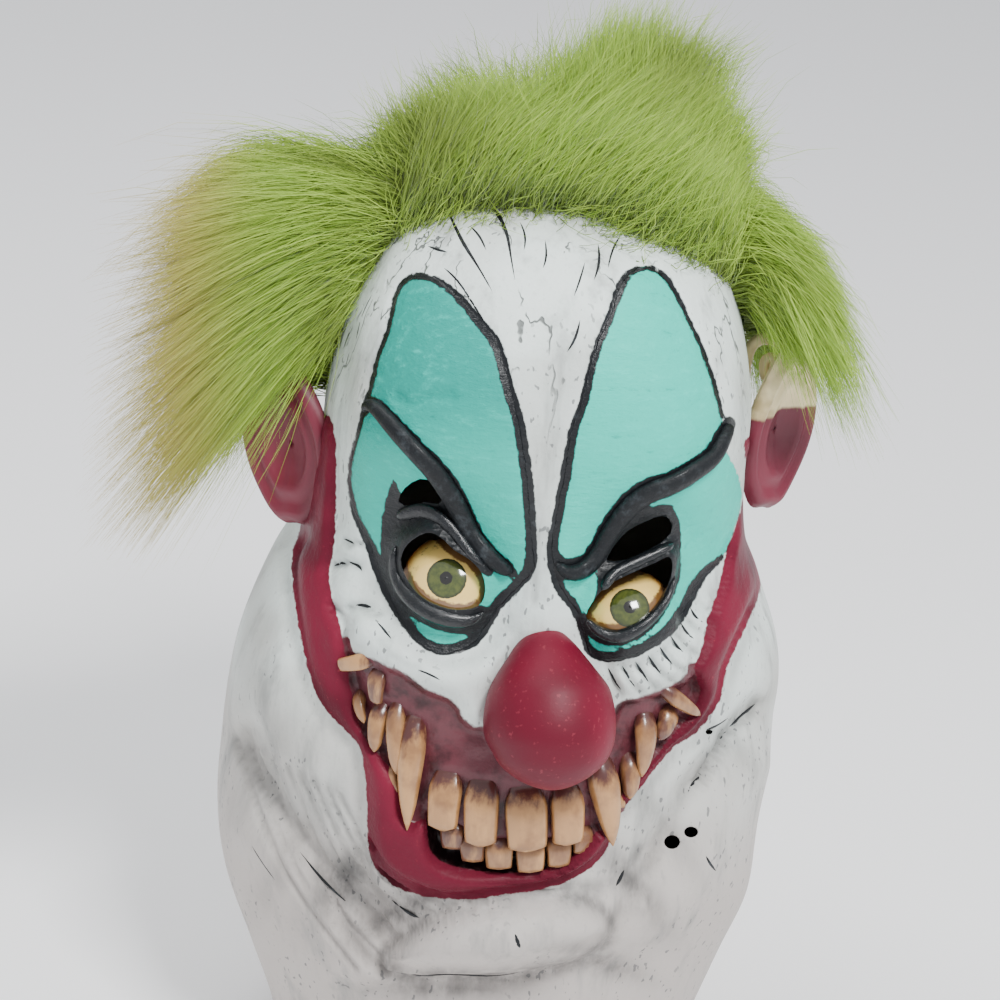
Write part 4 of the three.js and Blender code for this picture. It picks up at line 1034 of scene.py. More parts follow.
def latex_shader():
    s = Shader("painted_latex", 0.55)
    ragged = s.ragged(260, 3, 0.6, 5.0)
    edge = lambda name, low=-0.8, high=0.8: s.step(s.plus(s.attribute(name), ragged), low, high)
    streaks = s.noise(60, 4, 0.65, (1.0, 1.0, 0.22))
    colour = s.patches(WHITE, PALE, 14, 2, 0.4, 0.7)
    # Painted shade: the white darker and warmer toward the neck
    colour = s.mix(s.attribute("neck"), colour, NECK_SHADE)
    colour = s.mix(s.step(streaks, 0.50, 0.78, 0.0, 0.6), colour, GREY)
    flecks = s.step(s.noise(430, 1, 0.5, (1.0, 1.0, 0.5)), 0.66, 0.70)
    patchy = s.step(s.noise(24, 2), 0.42, 0.58, 0.1, 0.7)
    colour = s.mix(s.times(flecks, patchy), colour, srgb(96, 98, 100))
    veins = s.math("ABSOLUTE", s.math("SUBTRACT", s.noise(38, 4, 0.6, (1.0, 1.0, 0.25)), 0.5))
    veins = s.times(s.step(veins, 0.012, 0.002), s.step(s.noise(46, 2), 0.46, 0.56, 0.0, 0.8))
    is_teal = edge("teal")
    veins = s.times(veins, s.math("SUBTRACT", s.attribute("high"), is_teal))
    veins = s.math("MAXIMUM", veins, 0.0)
    colour = s.mix(veins, colour, SHADE_AND_VEIN_GREY)
    strokes = s.noise(210, 5, 0.75, (0.3, 1.0, 1.2))
    teal = s.mix(s.attribute("pale"), TEAL, TEAL_PALE)
    teal = s.mix(s.step(strokes, 0.50, 0.78, 0.0, 0.45), teal, TEAL_LIGHT)
    teal = s.mix(s.step(strokes, 0.42, 0.24, 0.0, 0.5), teal, TEAL_DARK)
    colour = s.mix(is_teal, colour, teal)
    # Painted shade: grey in the creases, the hollows and round the pads, broken up by noise
    shade_noise = s.noise(110, 4, 0.65, (1.0, 1.0, 0.4))
    shade_amount = s.times(s.attribute("painted_shade"), s.step(shade_noise, 0.10, 0.68))
    colour = s.mix(shade_amount, colour, SHADE_AND_VEIN_GREY)
    is_gum = edge("gum", -1.5, 1.5)
    gum = s.patches(GUM, GUM_DARK, 110, 3, 0.4, 0.7)
    colour = s.mix(is_gum, colour, gum)
    is_red = edge("red")
    red = s.patches(RED, RED_DARK, 22, 2, 0.35, 0.7)
    red = s.patches(red, RED_WORN, 420, 3, 0.66, 0.72, 0.5)
    red = s.mix(s.times(s.attribute("low"), 0.55), red, RED_DARK)
    colour = s.mix(is_red, colour, red)
    # The throat: dark red paint with the shade of the recess painted into it, near black
    colour = s.mix(edge("throat"), colour, MAROON)
    is_ink = edge("ink")
    ink = s.patches(INK_BLACK, INK_WORN, 150, 4, 0.55, 0.75, 0.6, 0.7)
    colour = s.mix(is_ink, colour, ink)
    colour = s.mix(s.attribute("inward"), colour, srgb(196, 190, 176))
    s.set("Base Color", colour)
    rough = s.blend(is_gum, s.blend(is_red, 0.6, 0.42), 0.3)
    s.set("Roughness", s.blend(is_ink, rough, 0.3))
    skin_bump = s.times(s.noise(180, 5, 0.6), 0.6)
    skin_bump = s.plus(skin_bump, s.times(streaks, 0.6))
    s.set("Specular IOR Level", s.blend(is_red, 0.35, 0.08))
    after = s.bump(s.math("SUBTRACT", skin_bump, veins), 1.3, 0.8)
    s.bump(s.times(strokes, is_teal), 1.0, 0.8, after)
    return s.material


def ink_shader(name, roughness, coat, gloss, scuff):
    s = Shader(name, roughness, coat)
    s.set("Specular IOR Level", gloss)
    s.set("Base Color", s.patches(INK_BLACK, INK_WORN, 170, 4, 0.5, 0.75, scuff, 0.7))
    s.bump(s.noise(190, 5, 0.7), 1.2, 0.9)
    return s.material


def red_shader():
    s = Shader("red_latex", 0.5)
    s.set("Specular IOR Level", 0.3)
    colour = s.patches(srgb(118, 6, 40), srgb(96, 6, 32), 18, 2, 0.35, 0.7)
    s.set("Base Color", s.patches(colour, RED_WORN, 420, 3, 0.60, 0.72, 0.5))
    s.bump(s.noise(150, 5, 0.6), 0.35, 0.5)
    return s.material


def ear_shader():
    s = Shader("ear_latex", 0.5)
    ragged = s.ragged(120, 3, 0.6, 3.0)
    red = s.patches(RED, RED_DARK, 18, 2, 0.35, 0.7)
    cream = s.patches(CREAM, srgb(176, 156, 112), 60, 3, 0.4, 0.7)
    s.set("Base Color", s.mix(s.step(s.plus(s.attribute("height"), ragged), -1, 1), red, cream))
    s.bump(s.noise(150, 4), 0.4, 0.5)
    return s.material


def tooth_shader():
    s = Shader("painted_teeth", 0.3, 0.3)
    along = s.attribute("along")
    stain = s.attribute("stain")
    streaks = s.noise(160, 4, 0.65, (1.0, 1.0, 0.25))
    colour = s.patches(srgb(200, 150, 96), srgb(158, 114, 72), 90, 3, 0.4, 0.7)
    root = s.step(s.plus(along, s.math("MULTIPLY_ADD", streaks, 0.7, -0.35)), 0.34, 0.10)
    colour = s.mix(root, colour, srgb(80, 42, 38))
    colour = s.mix(s.times(stain, s.step(streaks, 0.25, 0.6)), colour, srgb(84, 48, 44))
    s.set("Base Color", colour)
    s.bump(streaks, 0.5, 0.5)
    return s.material


def eye_shader():
    s = Shader("glossy_eye", 0.08, 1.0)
    ring = s.attribute("ring")
    ragged = s.ragged(700, 2, 0.55, 0.03)
    worn = s.plus(ring, ragged)
    colour = s.mix(s.step(ring, 0.75, 1.2), srgb(255, 216, 124), srgb(206, 118, 40))
    veins = s.step(s.noise(240, 4, 0.7), 0.56, 0.68, 0.0, 0.6)
    colour = s.mix(s.times(veins, s.step(ring, 0.5, 0.8)), colour, srgb(96, 44, 16))
    lashes = s.step(s.plus(s.attribute("rim"), s.noise(260, 4, 0.75)), 0.95, 1.25, 0.0, 0.9)
    colour = s.mix(lashes, colour, srgb(92, 46, 18))
    iris = s.patches(srgb(84, 92, 38), srgb(62, 72, 30), 500, 2, 0.3, 0.7)
    iris = s.mix(s.step(worn, 0.30, 0.385), iris, srgb(44, 50, 26))
    colour = s.mix(s.step(worn, 0.392, 0.378), colour, iris)
    colour = s.mix(s.step(worn, 0.128, 0.112), colour, srgb(22, 20, 16))
    s.set("Base Color", colour)
    return s.material


def fur_shader(name, tan):
    s = Shader(name, 0.6)
    tone = s.attribute("tone")
    along = s.attribute("along")
    # Darker at the root, lighter at the tip: painted shade within the pile
    root = s.mix(tone, srgb(78, 98, 24), srgb(112, 134, 40))
    tip = s.mix(tone, srgb(112, 152, 28), srgb(172, 200, 82))
    colour = s.mix(s.step(along, 0.0, 0.6), root, tip)
    colour = s.mix(s.times(s.attribute("shade"), 0.75), colour, srgb(84, 92, 34))
    colour = s.mix(s.times(s.attribute("tan"), tan), colour, srgb(196, 156, 96))
    s.set("Base Color", colour)
    s.set("Sheen Weight", 0.3)
    s.set("Specular IOR Level", 0.25)
    return s.material


def plain_shader(name, colour, roughness):
    s = Shader(name, roughness)
    s.set("Base Color", colour)
    return s.material


def finish_piece(obj, material, nodes):
    obj.data.materials.clear()
    obj.data.materials.append(material)
    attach(obj, "root")
    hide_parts(*nodes)
    return obj


def latex_piece(obj, material):
    return finish_piece(obj, material, ["mask_shell"])


latex_piece(shell, latex_shader())
glossy_ink = ink_shader("glossy_ink", roughness=0.18, coat=0.178, gloss=0.442, scuff=0.3)
matt_ink = ink_shader("matt_ink", roughness=0.5, coat=0.05, gloss=0.25, scuff=0.8)
BROW_RISE = 3.2
LID_THICK = 2.6
DARK_LINE_RISE = 0.25
DARK_LINE_WIDER = 1.35
brows = [ridge(brow, BROW_RISE, lift=0.5, sink=0.4) for brow in BROWS]
lids = [ridge(lid, LID_THICK) for lid in LIDS]
# Dark lines along cracks, and painted shade along the bottoms of creases
wider = [[(x, y, DARK_LINE_WIDER * half) for x, y, half in dark_line] for dark_line in CRACK_AND_CREASE_LINES]
crack_and_crease_lines = [ridge(dark_line, DARK_LINE_RISE, sides=6, steps=3, sink=0.5) for dark_line in wider]
latex_piece(joined("brow_ridges", brows), matt_ink)
latex_piece(joined("eyelids", lids), glossy_ink)
latex_piece(joined("crack_and_crease_lines", crack_and_crease_lines), matt_ink)

made = [tooth(*row) for row in TEETH]
teeth = joined("teeth", [body for body, _, _ in made])
write_attribute(teeth, "along", np.concatenate([along for _, along, _ in made]))
write_attribute(teeth, "stain", np.concatenate([stain for _, _, stain in made]))
latex_piece(teeth, tooth_shader())

# The nose: widths across the photo at heights down it. Columns: y, left edge, right edge.
NOSE = np.array([
    (628, 541, 551), (631, 532, 560), (637, 523, 568), (646, 515, 577), (657, 508, 586), (672, 498, 598),
    (687, 490, 609), (704, 485, 614), (722, 483, 616), (738, 485, 615), (752, 492, 611), (764, 499, 604),
    (775, 511, 592), (783, 524, 579), (788, 537, 567), (790, 546, 557)], float)
NOSE_AT = (549, 715)
NOSE_LIFT = 9.0
NOSE_DEEP = 0.98


def nose():
    reach = np.linalg.norm(on_head(*NOSE_AT)[0] - EYE) - NOSE_LIFT
    angles = round_angles(48)
    rings = []
    for y, left, right in smooth_line(NOSE, False, 3):
        middle = EYE + ray((left + right) / 2, y) * reach
        radius = (right - left) / 2 * reach / FOCAL
        rings.append(middle + RIGHT * (radius * np.cos(angles))[:, None]
                     - BACKWARD * (NOSE_DEEP * radius * np.sin(angles))[:, None])
    return mesh_object("nose_ball", *lofted(np.array(rings)))


latex_piece(nose(), red_shader())


EYE_RINGS = 64
EYE_SIDES = 72
EYE_EDGE = math.radians(100)
RIM_FROM, RIM_TO = 1, 13


def eyeball(name, eye):
    gaze = eye["gaze"]
    side = unit(np.cross(gaze, [0.0, 0.0, 1.0]))
    lift = np.cross(side, gaze)
    angle = np.linspace(0.012, EYE_EDGE, EYE_RINGS)
    around = round_angles(EYE_SIDES)
    rings = eye["centre"] + BALL_RADIUS * (
        gaze * np.cos(angle)[:, None, None]
        + (side * np.cos(around)[:, None] + lift * np.sin(around)[:, None]) * np.sin(angle)[:, None, None])
    points, faces = lofted(rings)
    obj = mesh_object(name, points, faces)
    write_attribute(obj, "ring", np.repeat(angle, len(around)))
    inside = loop_depth(*pixel(points), eye["loop"])
    write_attribute(obj, "rim", 1 - smoothstep(inside, RIM_FROM, RIM_TO))
    return obj


eye_material = eye_shader()
for side in ("left", "right"):
    finish_piece(eyeball(f"eye_{side}", EYES[side]), eye_material, [f"eyeball_{side}"])


# The ears: side, place, turn in degrees, height of the red and half depth in mm
EARS = [
    {"side": -1, "place": 0.40, "turn": -86, "red": 60.0, "deep": 23.0},
    {"side": 1, "place": 0.37, "turn": 86, "red": 9.0, "deep": 19.0},
]
EAR_TALL = 39.0
EAR_OUT = 13.8
EAR_FLARE = math.radians(50)
EAR_RINGS = 16
EAR_SIDES = 64
EAR_FRONT = 3.0
EAR_BACK = -4.0
EAR_WAVE = 0.8
# Raised rims of an ear. Columns: share of the way out, width as a share, rise in mm.
EAR_RIMS = [(0.86, 0.10, 4.0), (0.55, 0.09, 2.2), (0.0, 0.42, -4.5)]


def ear_root(row):
    return head_point(np.array(row["place"]), np.array(math.radians(row["turn"])))


def ear(row):
    """An ear as points and faces, with the height of each point over the red."""
    side = row["side"]
    centre = ear_root(row) + np.array([side * EAR_OUT, 0, 0])
    back = np.array([side * math.sin(EAR_FLARE), math.cos(EAR_FLARE), 0.0])
    front = np.array([side * math.cos(EAR_FLARE), -math.sin(EAR_FLARE), 0.0])
    angles = round_angles(EAR_SIDES)
    outline = 1 + 0.10 * np.cos(2 * angles - 1.2) - 0.10 * np.exp(-((angles - 4.4) / 0.3) ** 2)
    shares = np.linspace(0.02, 1, EAR_RINGS)
    rings = []
    for face in (1, -1):
        for share in shares[::face]:
            wide = back * (row["deep"] * share * outline * np.cos(angles))[:, None]
            tall = np.array([0.0, 0.0, 1.0]) * (EAR_TALL * share * outline * np.sin(angles))[:, None]
            rims = sum(rise * math.exp(-((share - at) / width) ** 2) for at, width, rise in EAR_RIMS)
            edge = math.sqrt(max(1 - share ** 6, 0.0))
            out = (EAR_FRONT + rims) * edge if face > 0 else EAR_BACK * edge
            wave = EAR_WAVE * np.sin(3 * angles + 1.0) * share
            rings.append(centre + wide + tall + front * (out + wave)[:, None])
    rings = np.array(rings)
    return lofted(rings), rings[..., 2].ravel() - centre[2] - row["red"]


# The curled rim of the ear that shows, on the photo
CURL = [(746, 394), (746, 366), (751, 347), (762, 339), (778, 342), (789, 355), (791, 370), (785, 381),
        (777, 372), (773, 359), (765, 362), (763, 380)]
CURL_HALF = 2.6
CURL_DEEP = 1.3
CURL_AT = (EAR_OUT, 5.0, 20.0)
CREAM_HEIGHT = 30.0


def curl():
    """A rounded rim along the curl, in front of the right ear."""
    line = smooth_line(CURL, False, 5)
    reach = np.linalg.norm(ear_root(EARS[1]) + CURL_AT - EYE)
    centre = np.array([EYE + ray(x, y) * reach for x, y in line])
    along = unit(np.gradient(centre, axis=0))
    side = unit(np.cross(along, BACKWARD))
    taper = rounded_ends(len(line), 8, 0.05)
    angles = round_angles(14)[None, :, None]
    radius = (CURL_HALF * taper)[:, None, None]
    across = side[:, None] * np.cos(angles) + BACKWARD * CURL_DEEP * np.sin(angles)
    rings = centre[:, None] + radius * across
    return lofted(rings), np.full(rings.shape[0] * rings.shape[1], CREAM_HEIGHT)


ears = [ear(row) for row in EARS] + [curl()]
ear_piece = joined("ears", [body for body, _ in ears])
write_attribute(ear_piece, "height", np.concatenate([height for _, height in ears]))
latex_piece(ear_piece, ear_shader())

# The fur. Rows of strands: whether they are set down on the photo or behind what it shows, their share
# of the strands, how far the roots spread in mm, and stations. Columns of a station: place and turn of
# the root, then the middle and the tip of a strand, each as x and y in the photo and mm in front of the
# root, or, behind, as a run in mm from the root.
SEEN = True
BEHIND = False
FUR = {
    "crown": [
        (SEEN, 2.4, 5, [
            (0.187, -80, 424, 176, 10, 452, 124, 4), (0.162, -74, 448, 158, 12, 488, 108, 5),
            (0.126, -57, 486, 150, 13, 532, 104, 6), (0.099, -21, 552, 154, 14, 598, 112, 7),
            (0.096, 7, 604, 162, 14, 652, 124, 7), (0.124, 32, 652, 178, 12, 694, 134, 6),
            (0.155, 47, 688, 192, 10, 718, 140, 3), (0.188, 63, 716, 206, 6, 730, 156, 0),
            (0.215, 74, 733, 232, 4, 736, 184, -3)]),
        (SEEN, 1.9, 9, [
            (0.165, -92, 388, 168, -4, 374, 150, -8), (0.13, -95, 406, 142, -4, 390, 116, -8),
            (0.10, -95, 438, 120, -2, 424, 88, -6), (0.08, -80, 470, 118, 2, 462, 83, -4),
            (0.06, -40, 508, 120, 4, 498, 91, 0), (0.05, 10, 546, 118, 4, 552, 86, 0)]),
        (SEEN, 2.0, 10, [
            (0.04, 30, 572, 108, 6, 584, 66, 4), (0.07, 60, 604, 88, 4, 612, 38, 0),
            (0.09, 78, 638, 76, 2, 650, 20, -4), (0.11, 88, 678, 82, 0, 700, 32, -8),
            (0.13, 92, 706, 98, -4, 752, 64, -10)]),
        (SEEN, 1.2, 8, [
            (0.11, 66, 706, 122, 4, 734, 92, 0), (0.14, 78, 722, 142, 2, 740, 124, -4),
            (0.165, 90, 728, 168, -4, 740, 158, -8), (0.18, 98, 722, 188, -6, 732, 190, -10)]),
        (SEEN, 2.0, 12, [
            (0.06, -75, 452, 150, 10, 492, 106, 8), (0.04, -40, 500, 140, 10, 556, 104, 8),
            (0.05, 0, 560, 136, 12, 622, 92, 8), (0.06, 60, 622, 132, 10, 676, 78, 6),
            (0.09, 70, 676, 146, 8, 716, 96, 4)]),
        (SEEN, 0.7, 10, [
            (0.187, -80, 408, 208, 3, 428, 190, 4), (0.126, -57, 476, 192, 3, 502, 180, 5),
            (0.097, -10, 560, 190, 3, 590, 182, 5), (0.124, 32, 642, 212, 3, 668, 200, 5),
            (0.188, 63, 716, 246, 3, 728, 224, 4)]),
        (BEHIND, 1.6, 16, [
            (0.11, 92, 14, 6, 16, 24, 10, 20), (0.17, 104, 20, 8, 8, 30, 12, -4),
            (0.23, 112, 20, 10, -8, 26, 12, -34), (0.27, 140, 14, 18, -10, 16, 18, -40),
            (0.30, 180, 0, 20, -12, 0, 18, -44), (0.27, 220, -14, 18, -10, -16, 18, -40),
            (0.23, 248, -20, 10, -8, -26, 12, -34), (0.17, 256, -20, 8, 8, -30, 12, -4),
            (0.11, 266, -14, 6, 16, -22, 10, 20)]),
        (BEHIND, 1.1, 14, [
            (0.05, 100, 14, 2, 30, 20, 10, 46), (0.09, 150, 10, 20, 28, 16, 30, 40),
            (0.12, 180, 0, 24, 20, 0, 34, 26), (0.10, 230, -14, 20, 18, -22, 26, 24)]),
        (BEHIND, 1.3, 14, [
            (0.16, 110, 18, 12, 8, 26, 16, 2), (0.18, 150, 8, 20, 2, 10, 26, -10),
            (0.18, 210, -8, 20, 2, -10, 26, -10), (0.16, 250, -18, 12, 8, -26, 14, 2)]),
        (BEHIND, 1.3, 18, [
            (0.135, 118, 14, 14, 10, 20, 20, 4), (0.145, 180, 0, 22, 8, 0, 30, -4),
            (0.135, 240, -14, 14, 10, -20, 20, 4)]),
        (BEHIND, 1.3, 18, [
            (0.205, 116, 16, 12, -4, 20, 16, -18), (0.22, 180, 0, 20, -8, 0, 22, -28),
            (0.205, 244, -16, 12, -4, -20, 16, -18)]),
        (BEHIND, 1.3, 14, [
            (0.24, 122, 16, 12, -12, 16, 12, -38), (0.26, 180, 0, 18, -16, 0, 14, -44),
            (0.24, 238, -16, 12, -12, -16, 12, -38)]),
    ],
    "left": [
        (SEEN, 2.4, 6, [
            (0.168, -86, 324, 180, 6, 232, 192, 2), (0.187, -84, 316, 200, 10, 176, 226, 3),
            (0.205, -84, 298, 232, 12, 158, 296, 5), (0.225, -84, 286, 268, 13, 142, 370, 5),
            (0.25, -85, 282, 308, 12, 138, 440, 5), (0.28, -86, 284, 344, 10, 146, 506, 4),
            (0.31, -88, 276, 356, 8, 160, 500, 3), (0.335, -90, 276, 366, 5, 198, 438, 2)]),
        (SEEN, 1.6, 7, [
            (0.168, -94, 356, 156, -4, 298, 158, -8), (0.19, -98, 306, 168, -4, 236, 180, -8),
            (0.21, -98, 266, 188, -2, 166, 212, -6), (0.25, -98, 244, 250, -2, 132, 268, -4),
            (0.28, -96, 244, 330, 0, 132, 400, -2), (0.31, -96, 254, 364, 0, 192, 458, 0),
            (0.335, -94, 276, 368, 2, 238, 402, 0), (0.345, -92, 300, 368, 2, 284, 382, 1)]),
        (SEEN, 0.8, 6, [
            (0.187, -81, 368, 216, 4, 328, 214, 5), (0.225, -81, 350, 262, 4, 300, 286, 6),
            (0.265, -84, 336, 306, 4, 286, 350, 6), (0.31, -90, 312, 336, 4, 276, 366, 5)]),
        (BEHIND, 1.1, 13, [
            (0.20, -96, -34, 14, 8, -54, 20, -6), (0.25, -102, -34, 18, -4, -50, 20, -34),
            (0.30, -98, -34, 14, -10, -48, 16, -48), (0.33, -104, -26, 16, -16, -36, 16, -52)]),
        (BEHIND, 0.9, 9, [
            (0.20, -106, -50, 26, 14, -88, 26, 0), (0.25, -108, -52, 26, 2, -86, 24, -30),
            (0.31, -108, -44, 26, -16, -60, 22, -70)]),
    ],
    "right": [
        (SEEN, 2.0, 5, [
            (0.178, 78, 744, 214, 4, 786, 240, 0), (0.192, 80, 770, 236, 6, 826, 284, 2),
            (0.205, 81, 782, 256, 7, 848, 330, 3), (0.22, 81, 788, 280, 6, 856, 392, 3),
            (0.232, 81, 786, 296, 5, 850, 424, 2), (0.242, 82, 774, 302, 4, 812, 366, 1),
            (0.25, 83, 764, 304, 3, 786, 344, 0)]),
        (SEEN, 1.2, 6, [
            (0.18, 92, 736, 200, -6, 768, 224, -8), (0.20, 96, 772, 226, -6, 810, 256, -8),
            (0.22, 96, 800, 264, -6, 842, 312, -8), (0.24, 94, 812, 320, -6, 850, 414, -6)]),
        (BEHIND, 1.1, 12, [
            (0.19, 97, 26, 14, 6, 40, 18, -10), (0.23, 103, 26, 16, -4, 38, 18, -34),
            (0.26, 98, 24, 14, -10, 34, 16, -46), (0.29, 105, 20, 14, -14, 28, 14, -48)]),
        (BEHIND, 0.8, 9, [
            (0.19, 106, 28, 22, -2, 46, 22, -30), (0.24, 108, 28, 24, -14, 46, 22, -50),
            (0.28, 106, 20, 20, -24, 30, 20, -60)]),
    ],
}
SEGMENTS = 4
# How far fur may reach past the CAD box, in mm
PAST_BOX = 12
# How strands stray from their clump, and clumps from their row, in mm; how roots sink with distance
ROOT_SPREAD = 0.6
ROOT_SINK = 220
CLUMP_DRIFT = 4.0
STRAND_DRIFT = 3.0
WAIST_DRIFT = 1.8
CLUMP_WAVE = 2.4
STRAND_WAVE = 1.5
# How far along their row strands spread round their clump, and their width at the tip, as shares
ROW_SPREAD = 0.035
TIP_WIDTH = 0.15
# Lengths of strands as shares of their row's: mean, spread, least and most
LENGTH, LENGTH_SPREAD, SHORTEST, LONGEST = 0.84, 0.17, 0.3, 1.08
# Behind this the fur's shade is even; the tan begins and is full at these mm to the left
EVEN_BEHIND, EVEN_SHADE = 60, 0.2
TAN_FROM, TAN_TO = 118, 160
# Darker, browner fur. Columns: x, y, half sizes, lean in degrees, strength.
SHADES = [
    (430, 135, 62, 46, 0, 0.8), (410, 182, 26, 16, 0, 1.0), (690, 62, 46, 40, 0, 0.6),
    (330, 160, 70, 12, -12, 0.7), (330, 330, 22, 50, 20, 0.6), (770, 300, 60, 16, 45, 0.5),
    (230, 470, 60, 20, -40, 0.3),
]


def stations(row):
    """Roots as place and turn, with runs to the middle and the tip, of a row's stations."""
    on_photo, _, _, table = row
    table = np.array(table, float)
    place, turn = table[:, 0], np.radians(table[:, 1])
    root = head_point(place, turn)
    runs = [table[:, 2:5].copy(), table[:, 5:8].copy()]
    if on_photo:
        for run in runs:
            reach = np.linalg.norm(root - EYE, axis=1) - run[:, 2]
            line = np.array([ray(x, y) for x, y in run[:, :2]])
            run[:] = EYE + line * reach[:, None] - root
    return np.column_stack([place, turn, *runs])


def strands(tufts, total, clumps, width, stray):
    """Ribbons of fur as points, quads, tones and shares along."""
    weights = np.array([row[1] for row in tufts])
    row_of = rng.choice(len(tufts), clumps, p=weights / weights.sum())
    share = rng.random(clumps)
    clump = rng.integers(0, clumps, total)
    values = np.zeros((total, 8))
    at = np.clip(share[clump] + rng.normal(0, ROW_SPREAD, total), 0, 1)
    for k, row in enumerate(tufts):
        table = stations(row)
        mine = row_of[clump] == k
        where = at[mine] * (len(table) - 1)
        for column in range(8):
            values[mine, column] = np.interp(where, np.arange(len(table)), table[:, column])
    spread = np.array([row[2] for row in tufts])[row_of][clump]
    place, turn = values[:, 0], values[:, 1]
    out = head_normal(place, turn)
    jitter = rng.normal(0, 1, (total, 3)) * spread[:, None] * ROOT_SPREAD
    jitter -= np.sum(jitter * out, -1, keepdims=True) * out
    start = head_point(place, turn) + jitter + out * (0.4 - np.sum(jitter ** 2, -1) / ROOT_SINK)[:, None]
    drift = rng.normal(0, CLUMP_DRIFT * stray, (clumps, 3))[clump] \
        + rng.normal(0, STRAND_DRIFT * stray, (total, 3))
    tip = start - 0.4 * jitter + values[:, 5:8] + drift
    waist = start - 0.1 * jitter + values[:, 2:5] + 0.45 * drift + rng.normal(0, WAIST_DRIFT, (total, 3))
    bend = 2 * waist - 0.5 * (start + tip)
    length = np.clip(rng.normal(LENGTH, LENGTH_SPREAD, total), SHORTEST, LONGEST)
    t = np.linspace(0, 1, SEGMENTS + 1)[None, :, None]
    r = t * length[:, None, None]
    path = (1 - r) ** 2 * start[:, None] + 2 * r * (1 - r) * bend[:, None] + r * r * tip[:, None]
    sway = rng.normal(0, 1, (clumps, 3))[clump][:, None]
    wave = rng.normal(0, 1, (total, 1, 3))
    phase = rng.uniform(0, 6, (total, 1, 1))
    path = path + CLUMP_WAVE * np.sin(5.5 * t) * t * sway + STRAND_WAVE * np.sin(5.0 * t + phase) * t * wave
    along = unit(np.gradient(path, axis=1))
    side = unit(np.cross(along, rng.normal(0, 1, (total, 1, 3)) + BACKWARD * 1.2))
    half = side * (width / 2 * ((1 - t ** 2.2) * (1 - TIP_WIDTH) + TIP_WIDTH))
    points = np.stack([path - half, path + half], 2).reshape(-1, 3)
    per = 2 * (SEGMENTS + 1)
    k = np.arange(SEGMENTS) * 2
    quad = np.stack([k, k + 1, k + 3, k + 2], -1)
    faces = (np.arange(total)[:, None, None] * per + quad[None]).reshape(-1, 4)
    tone = np.clip(0.45 * rng.random(clumps)[clump] + 0.55 * rng.random(total), 0, 1)
    return points, faces, np.repeat(tone, per), np.tile(np.repeat(t.ravel(), 2), total)


def near_box(points):
    """Points with what leaves the CAD box drawn in near it."""
    low, high = (np.array(v) / MM for v in SIZES["cad"])
    over = np.maximum(points - high, 0) - np.maximum(low - points, 0)
    return np.clip(points, low, high) + PAST_BOX * np.tanh(over / PAST_BOX)


def fur(name, tufts, total, node, material, clumps, stray=1.0, width=0.40):
    points, faces, tone, along = strands(tufts, total, clumps, width, stray)
    points = near_box(points)
    obj = mesh_object(name, points, faces)
    write_attribute(obj, "tone", tone)
    write_attribute(obj, "along", along)
    seen = pixel(points)
    shade = np.max([row[5] * np.exp(-leaned(*seen, row)) for row in SHADES], axis=0)
    write_attribute(obj, "shade", np.where(points[:, 1] < EVEN_BEHIND, shade, EVEN_SHADE))
    write_attribute(obj, "tan", smoothstep(-points[:, 0], TAN_FROM, TAN_TO) * along)
    return finish_piece(obj, material, [node])


MANY = 22000
FINE = 0.32
lime = fur_shader("lime_fur", 0.0)
tan = fur_shader("tan_lime_fur", 0.7)
fur("crown_fur", FUR["crown"], MANY, "hair_crown", lime, clumps=260)
fur("crown_fur_fine", FUR["crown"], MANY, "hair_crown", lime, clumps=2000, stray=1.7, width=FINE)
fur("left_fur", FUR["left"], int(0.8 * MANY), "hair_left", tan, clumps=260, stray=1.2)
fur("left_fur_fine", FUR["left"], MANY // 2, "hair_left", tan, clumps=1500, stray=2.0, width=FINE)
fur("right_fur", FUR["right"], int(0.75 * MANY), "hair_right", lime, clumps=300, stray=1.1)

# Under the fur: its backings, a hair's breadth off the latex
BACKING_LIFT = 1.3
BACKING_RINGS = 30
BACKING_SIDES = 96
PATCH_HALF_TURN = math.radians(15)
# The plane under the crown's backing: its slope, and a point of it at y and z in mm
HAIR_SLOPE = 0.81
HAIR_Y = -26
HAIR_Z = -5


def laid(place, turn):
    """Points of the latex at places and turns, lifted by the thickness of a backing."""
    at = head_point(place, turn)
    out = head_normal(place, turn)
    high = broad_relief(*pixel(at)) * facing(out)
    return at + out * (high + BACKING_LIFT)[..., None]


def crown_edge(turn):
    """How far down the crown's backing reaches at a turn: further behind than in front."""
    reach = np.linspace(0.01, 0.4, 120)
    edge = []
    for t in turn:
        p = head_point(reach, np.full(reach.shape, t))
        above = p[:, 2] > HAIR_Z - HAIR_SLOPE * (p[:, 1] - HAIR_Y)
        edge.append(reach[above].max() if above.any() else reach[0])
    return np.array(edge)


around = round_angles(BACKING_SIDES)
out_share = np.linspace(0.02, 1, BACKING_RINGS)[:, None]


def side_patch(place, tall, turn):
    """Places and turns of an oval backing round its middle; tall is half its height."""
    return (place + tall * out_share * np.cos(around),
            math.radians(turn) + PATCH_HALF_TURN * out_share * np.sin(around))


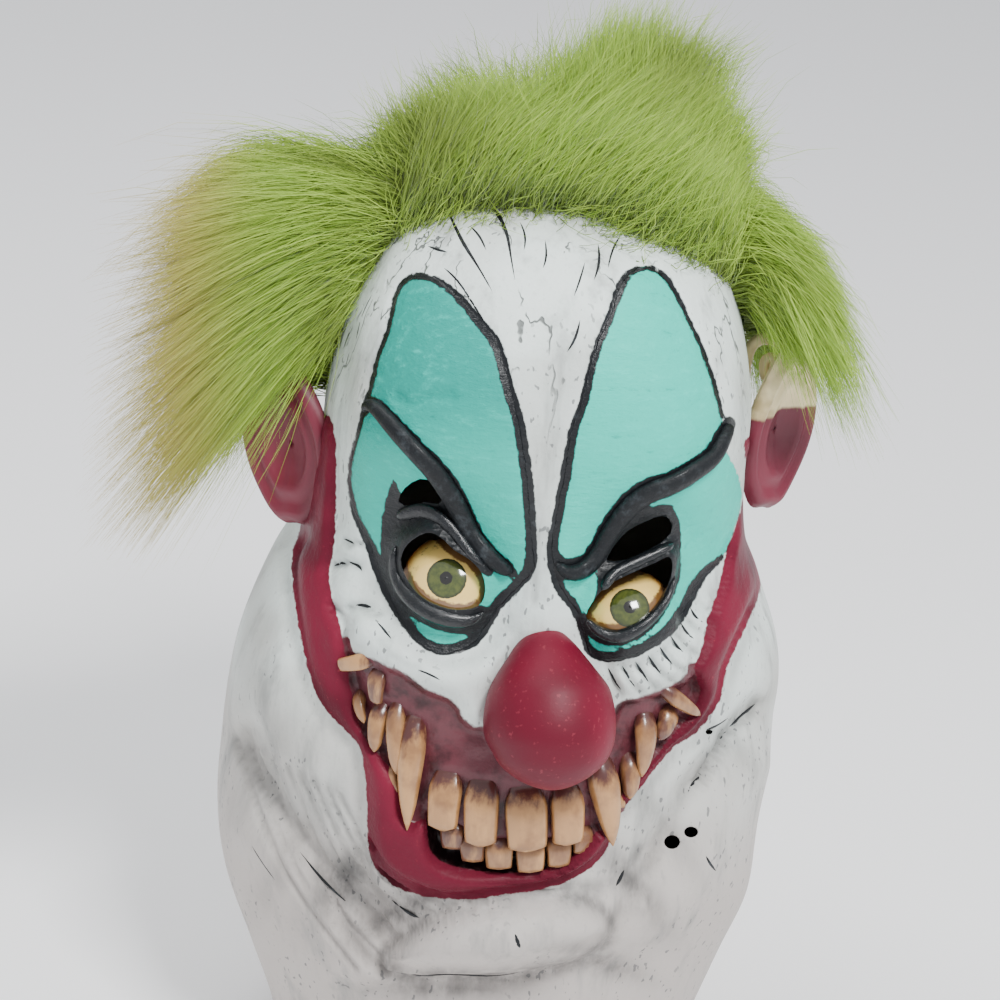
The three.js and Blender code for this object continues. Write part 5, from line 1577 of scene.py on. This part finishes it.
PATCHES = {
    "hair_crown": (out_share * crown_edge(around), np.repeat(around[None], BACKING_RINGS, 0)),
    "hair_left": side_patch(place=0.262, tall=0.082, turn=-100),
    "hair_right": side_patch(place=0.235, tall=0.064, turn=99),
}
backing_material = plain_shader("fur_backing", srgb(70, 90, 24), 0.9)
for node, (place, turn) in PATCHES.items():
    points = laid(place, turn).reshape(-1, 3)
    backing = mesh_object(node + "_backing", points, grid_faces(BACKING_RINGS, BACKING_SIDES))
    finish_piece(backing, backing_material, [node])

# Floor, light and camera

FLOOR = 4000.0
corners = [(x * FLOOR, y * FLOOR, -HEIGHT) for x, y in ((-1, -1), (1, -1), (1, 1), (-1, 1))]
floor = mesh_object("floor", corners, [[0, 1, 2, 3]])
floor.data.materials.append(plain_shader("floor", srgb(252, 252, 252), 0.9))
floor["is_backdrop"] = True

world = bpy.data.worlds.new("studio")
bpy.context.scene.world = world
world.use_nodes = True
sky = world.node_tree.nodes["Background"]
sky.inputs["Color"].default_value = (0.93, 0.95, 1.0, 1.0)
sky.inputs["Strength"].default_value = 0.85
FACE_MIDDLE = Vector((0, 0, -0.18))


def lamp(name, place, size, power):
    """A soft square lamp aimed at the face."""
    light = bpy.data.lights.new(name, "AREA")
    light.size = size
    light.energy = power
    obj = bpy.data.objects.new(name, light)
    obj.location = place
    aim = FACE_MIDDLE - Vector(place)
    obj.rotation_mode = "QUATERNION"
    obj.rotation_quaternion = aim.to_track_quat("-Z", "Y")
    bpy.context.collection.objects.link(obj)


lamp("key", (0.5, -1.1, 1.45), size=0.45, power=46)
lamp("top", (-0.4, 0.4, 1.5), size=0.9, power=18)

camera = bpy.data.cameras.new("camera")
SENSOR = 36.0
camera.sensor_width = SENSOR
camera.lens = SENSOR * FOCAL / PIXELS
camera.shift_x = (PIXELS / 2 - AIM_X) / PIXELS
camera.shift_y = (AIM_Y - PIXELS / 2) / PIXELS
camera.clip_start = 0.05
camera.clip_end = 50.0
camera_object = bpy.data.objects.new("camera", camera)
turned = Matrix((RIGHT, UP, BACKWARD)).transposed().to_4x4()
turned.translation = Vector(EYE * MM)
camera_object.matrix_world = turned
bpy.context.collection.objects.link(camera_object)
bpy.context.scene.camera = camera_object

SIZES["visual"] = [list(v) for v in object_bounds()]
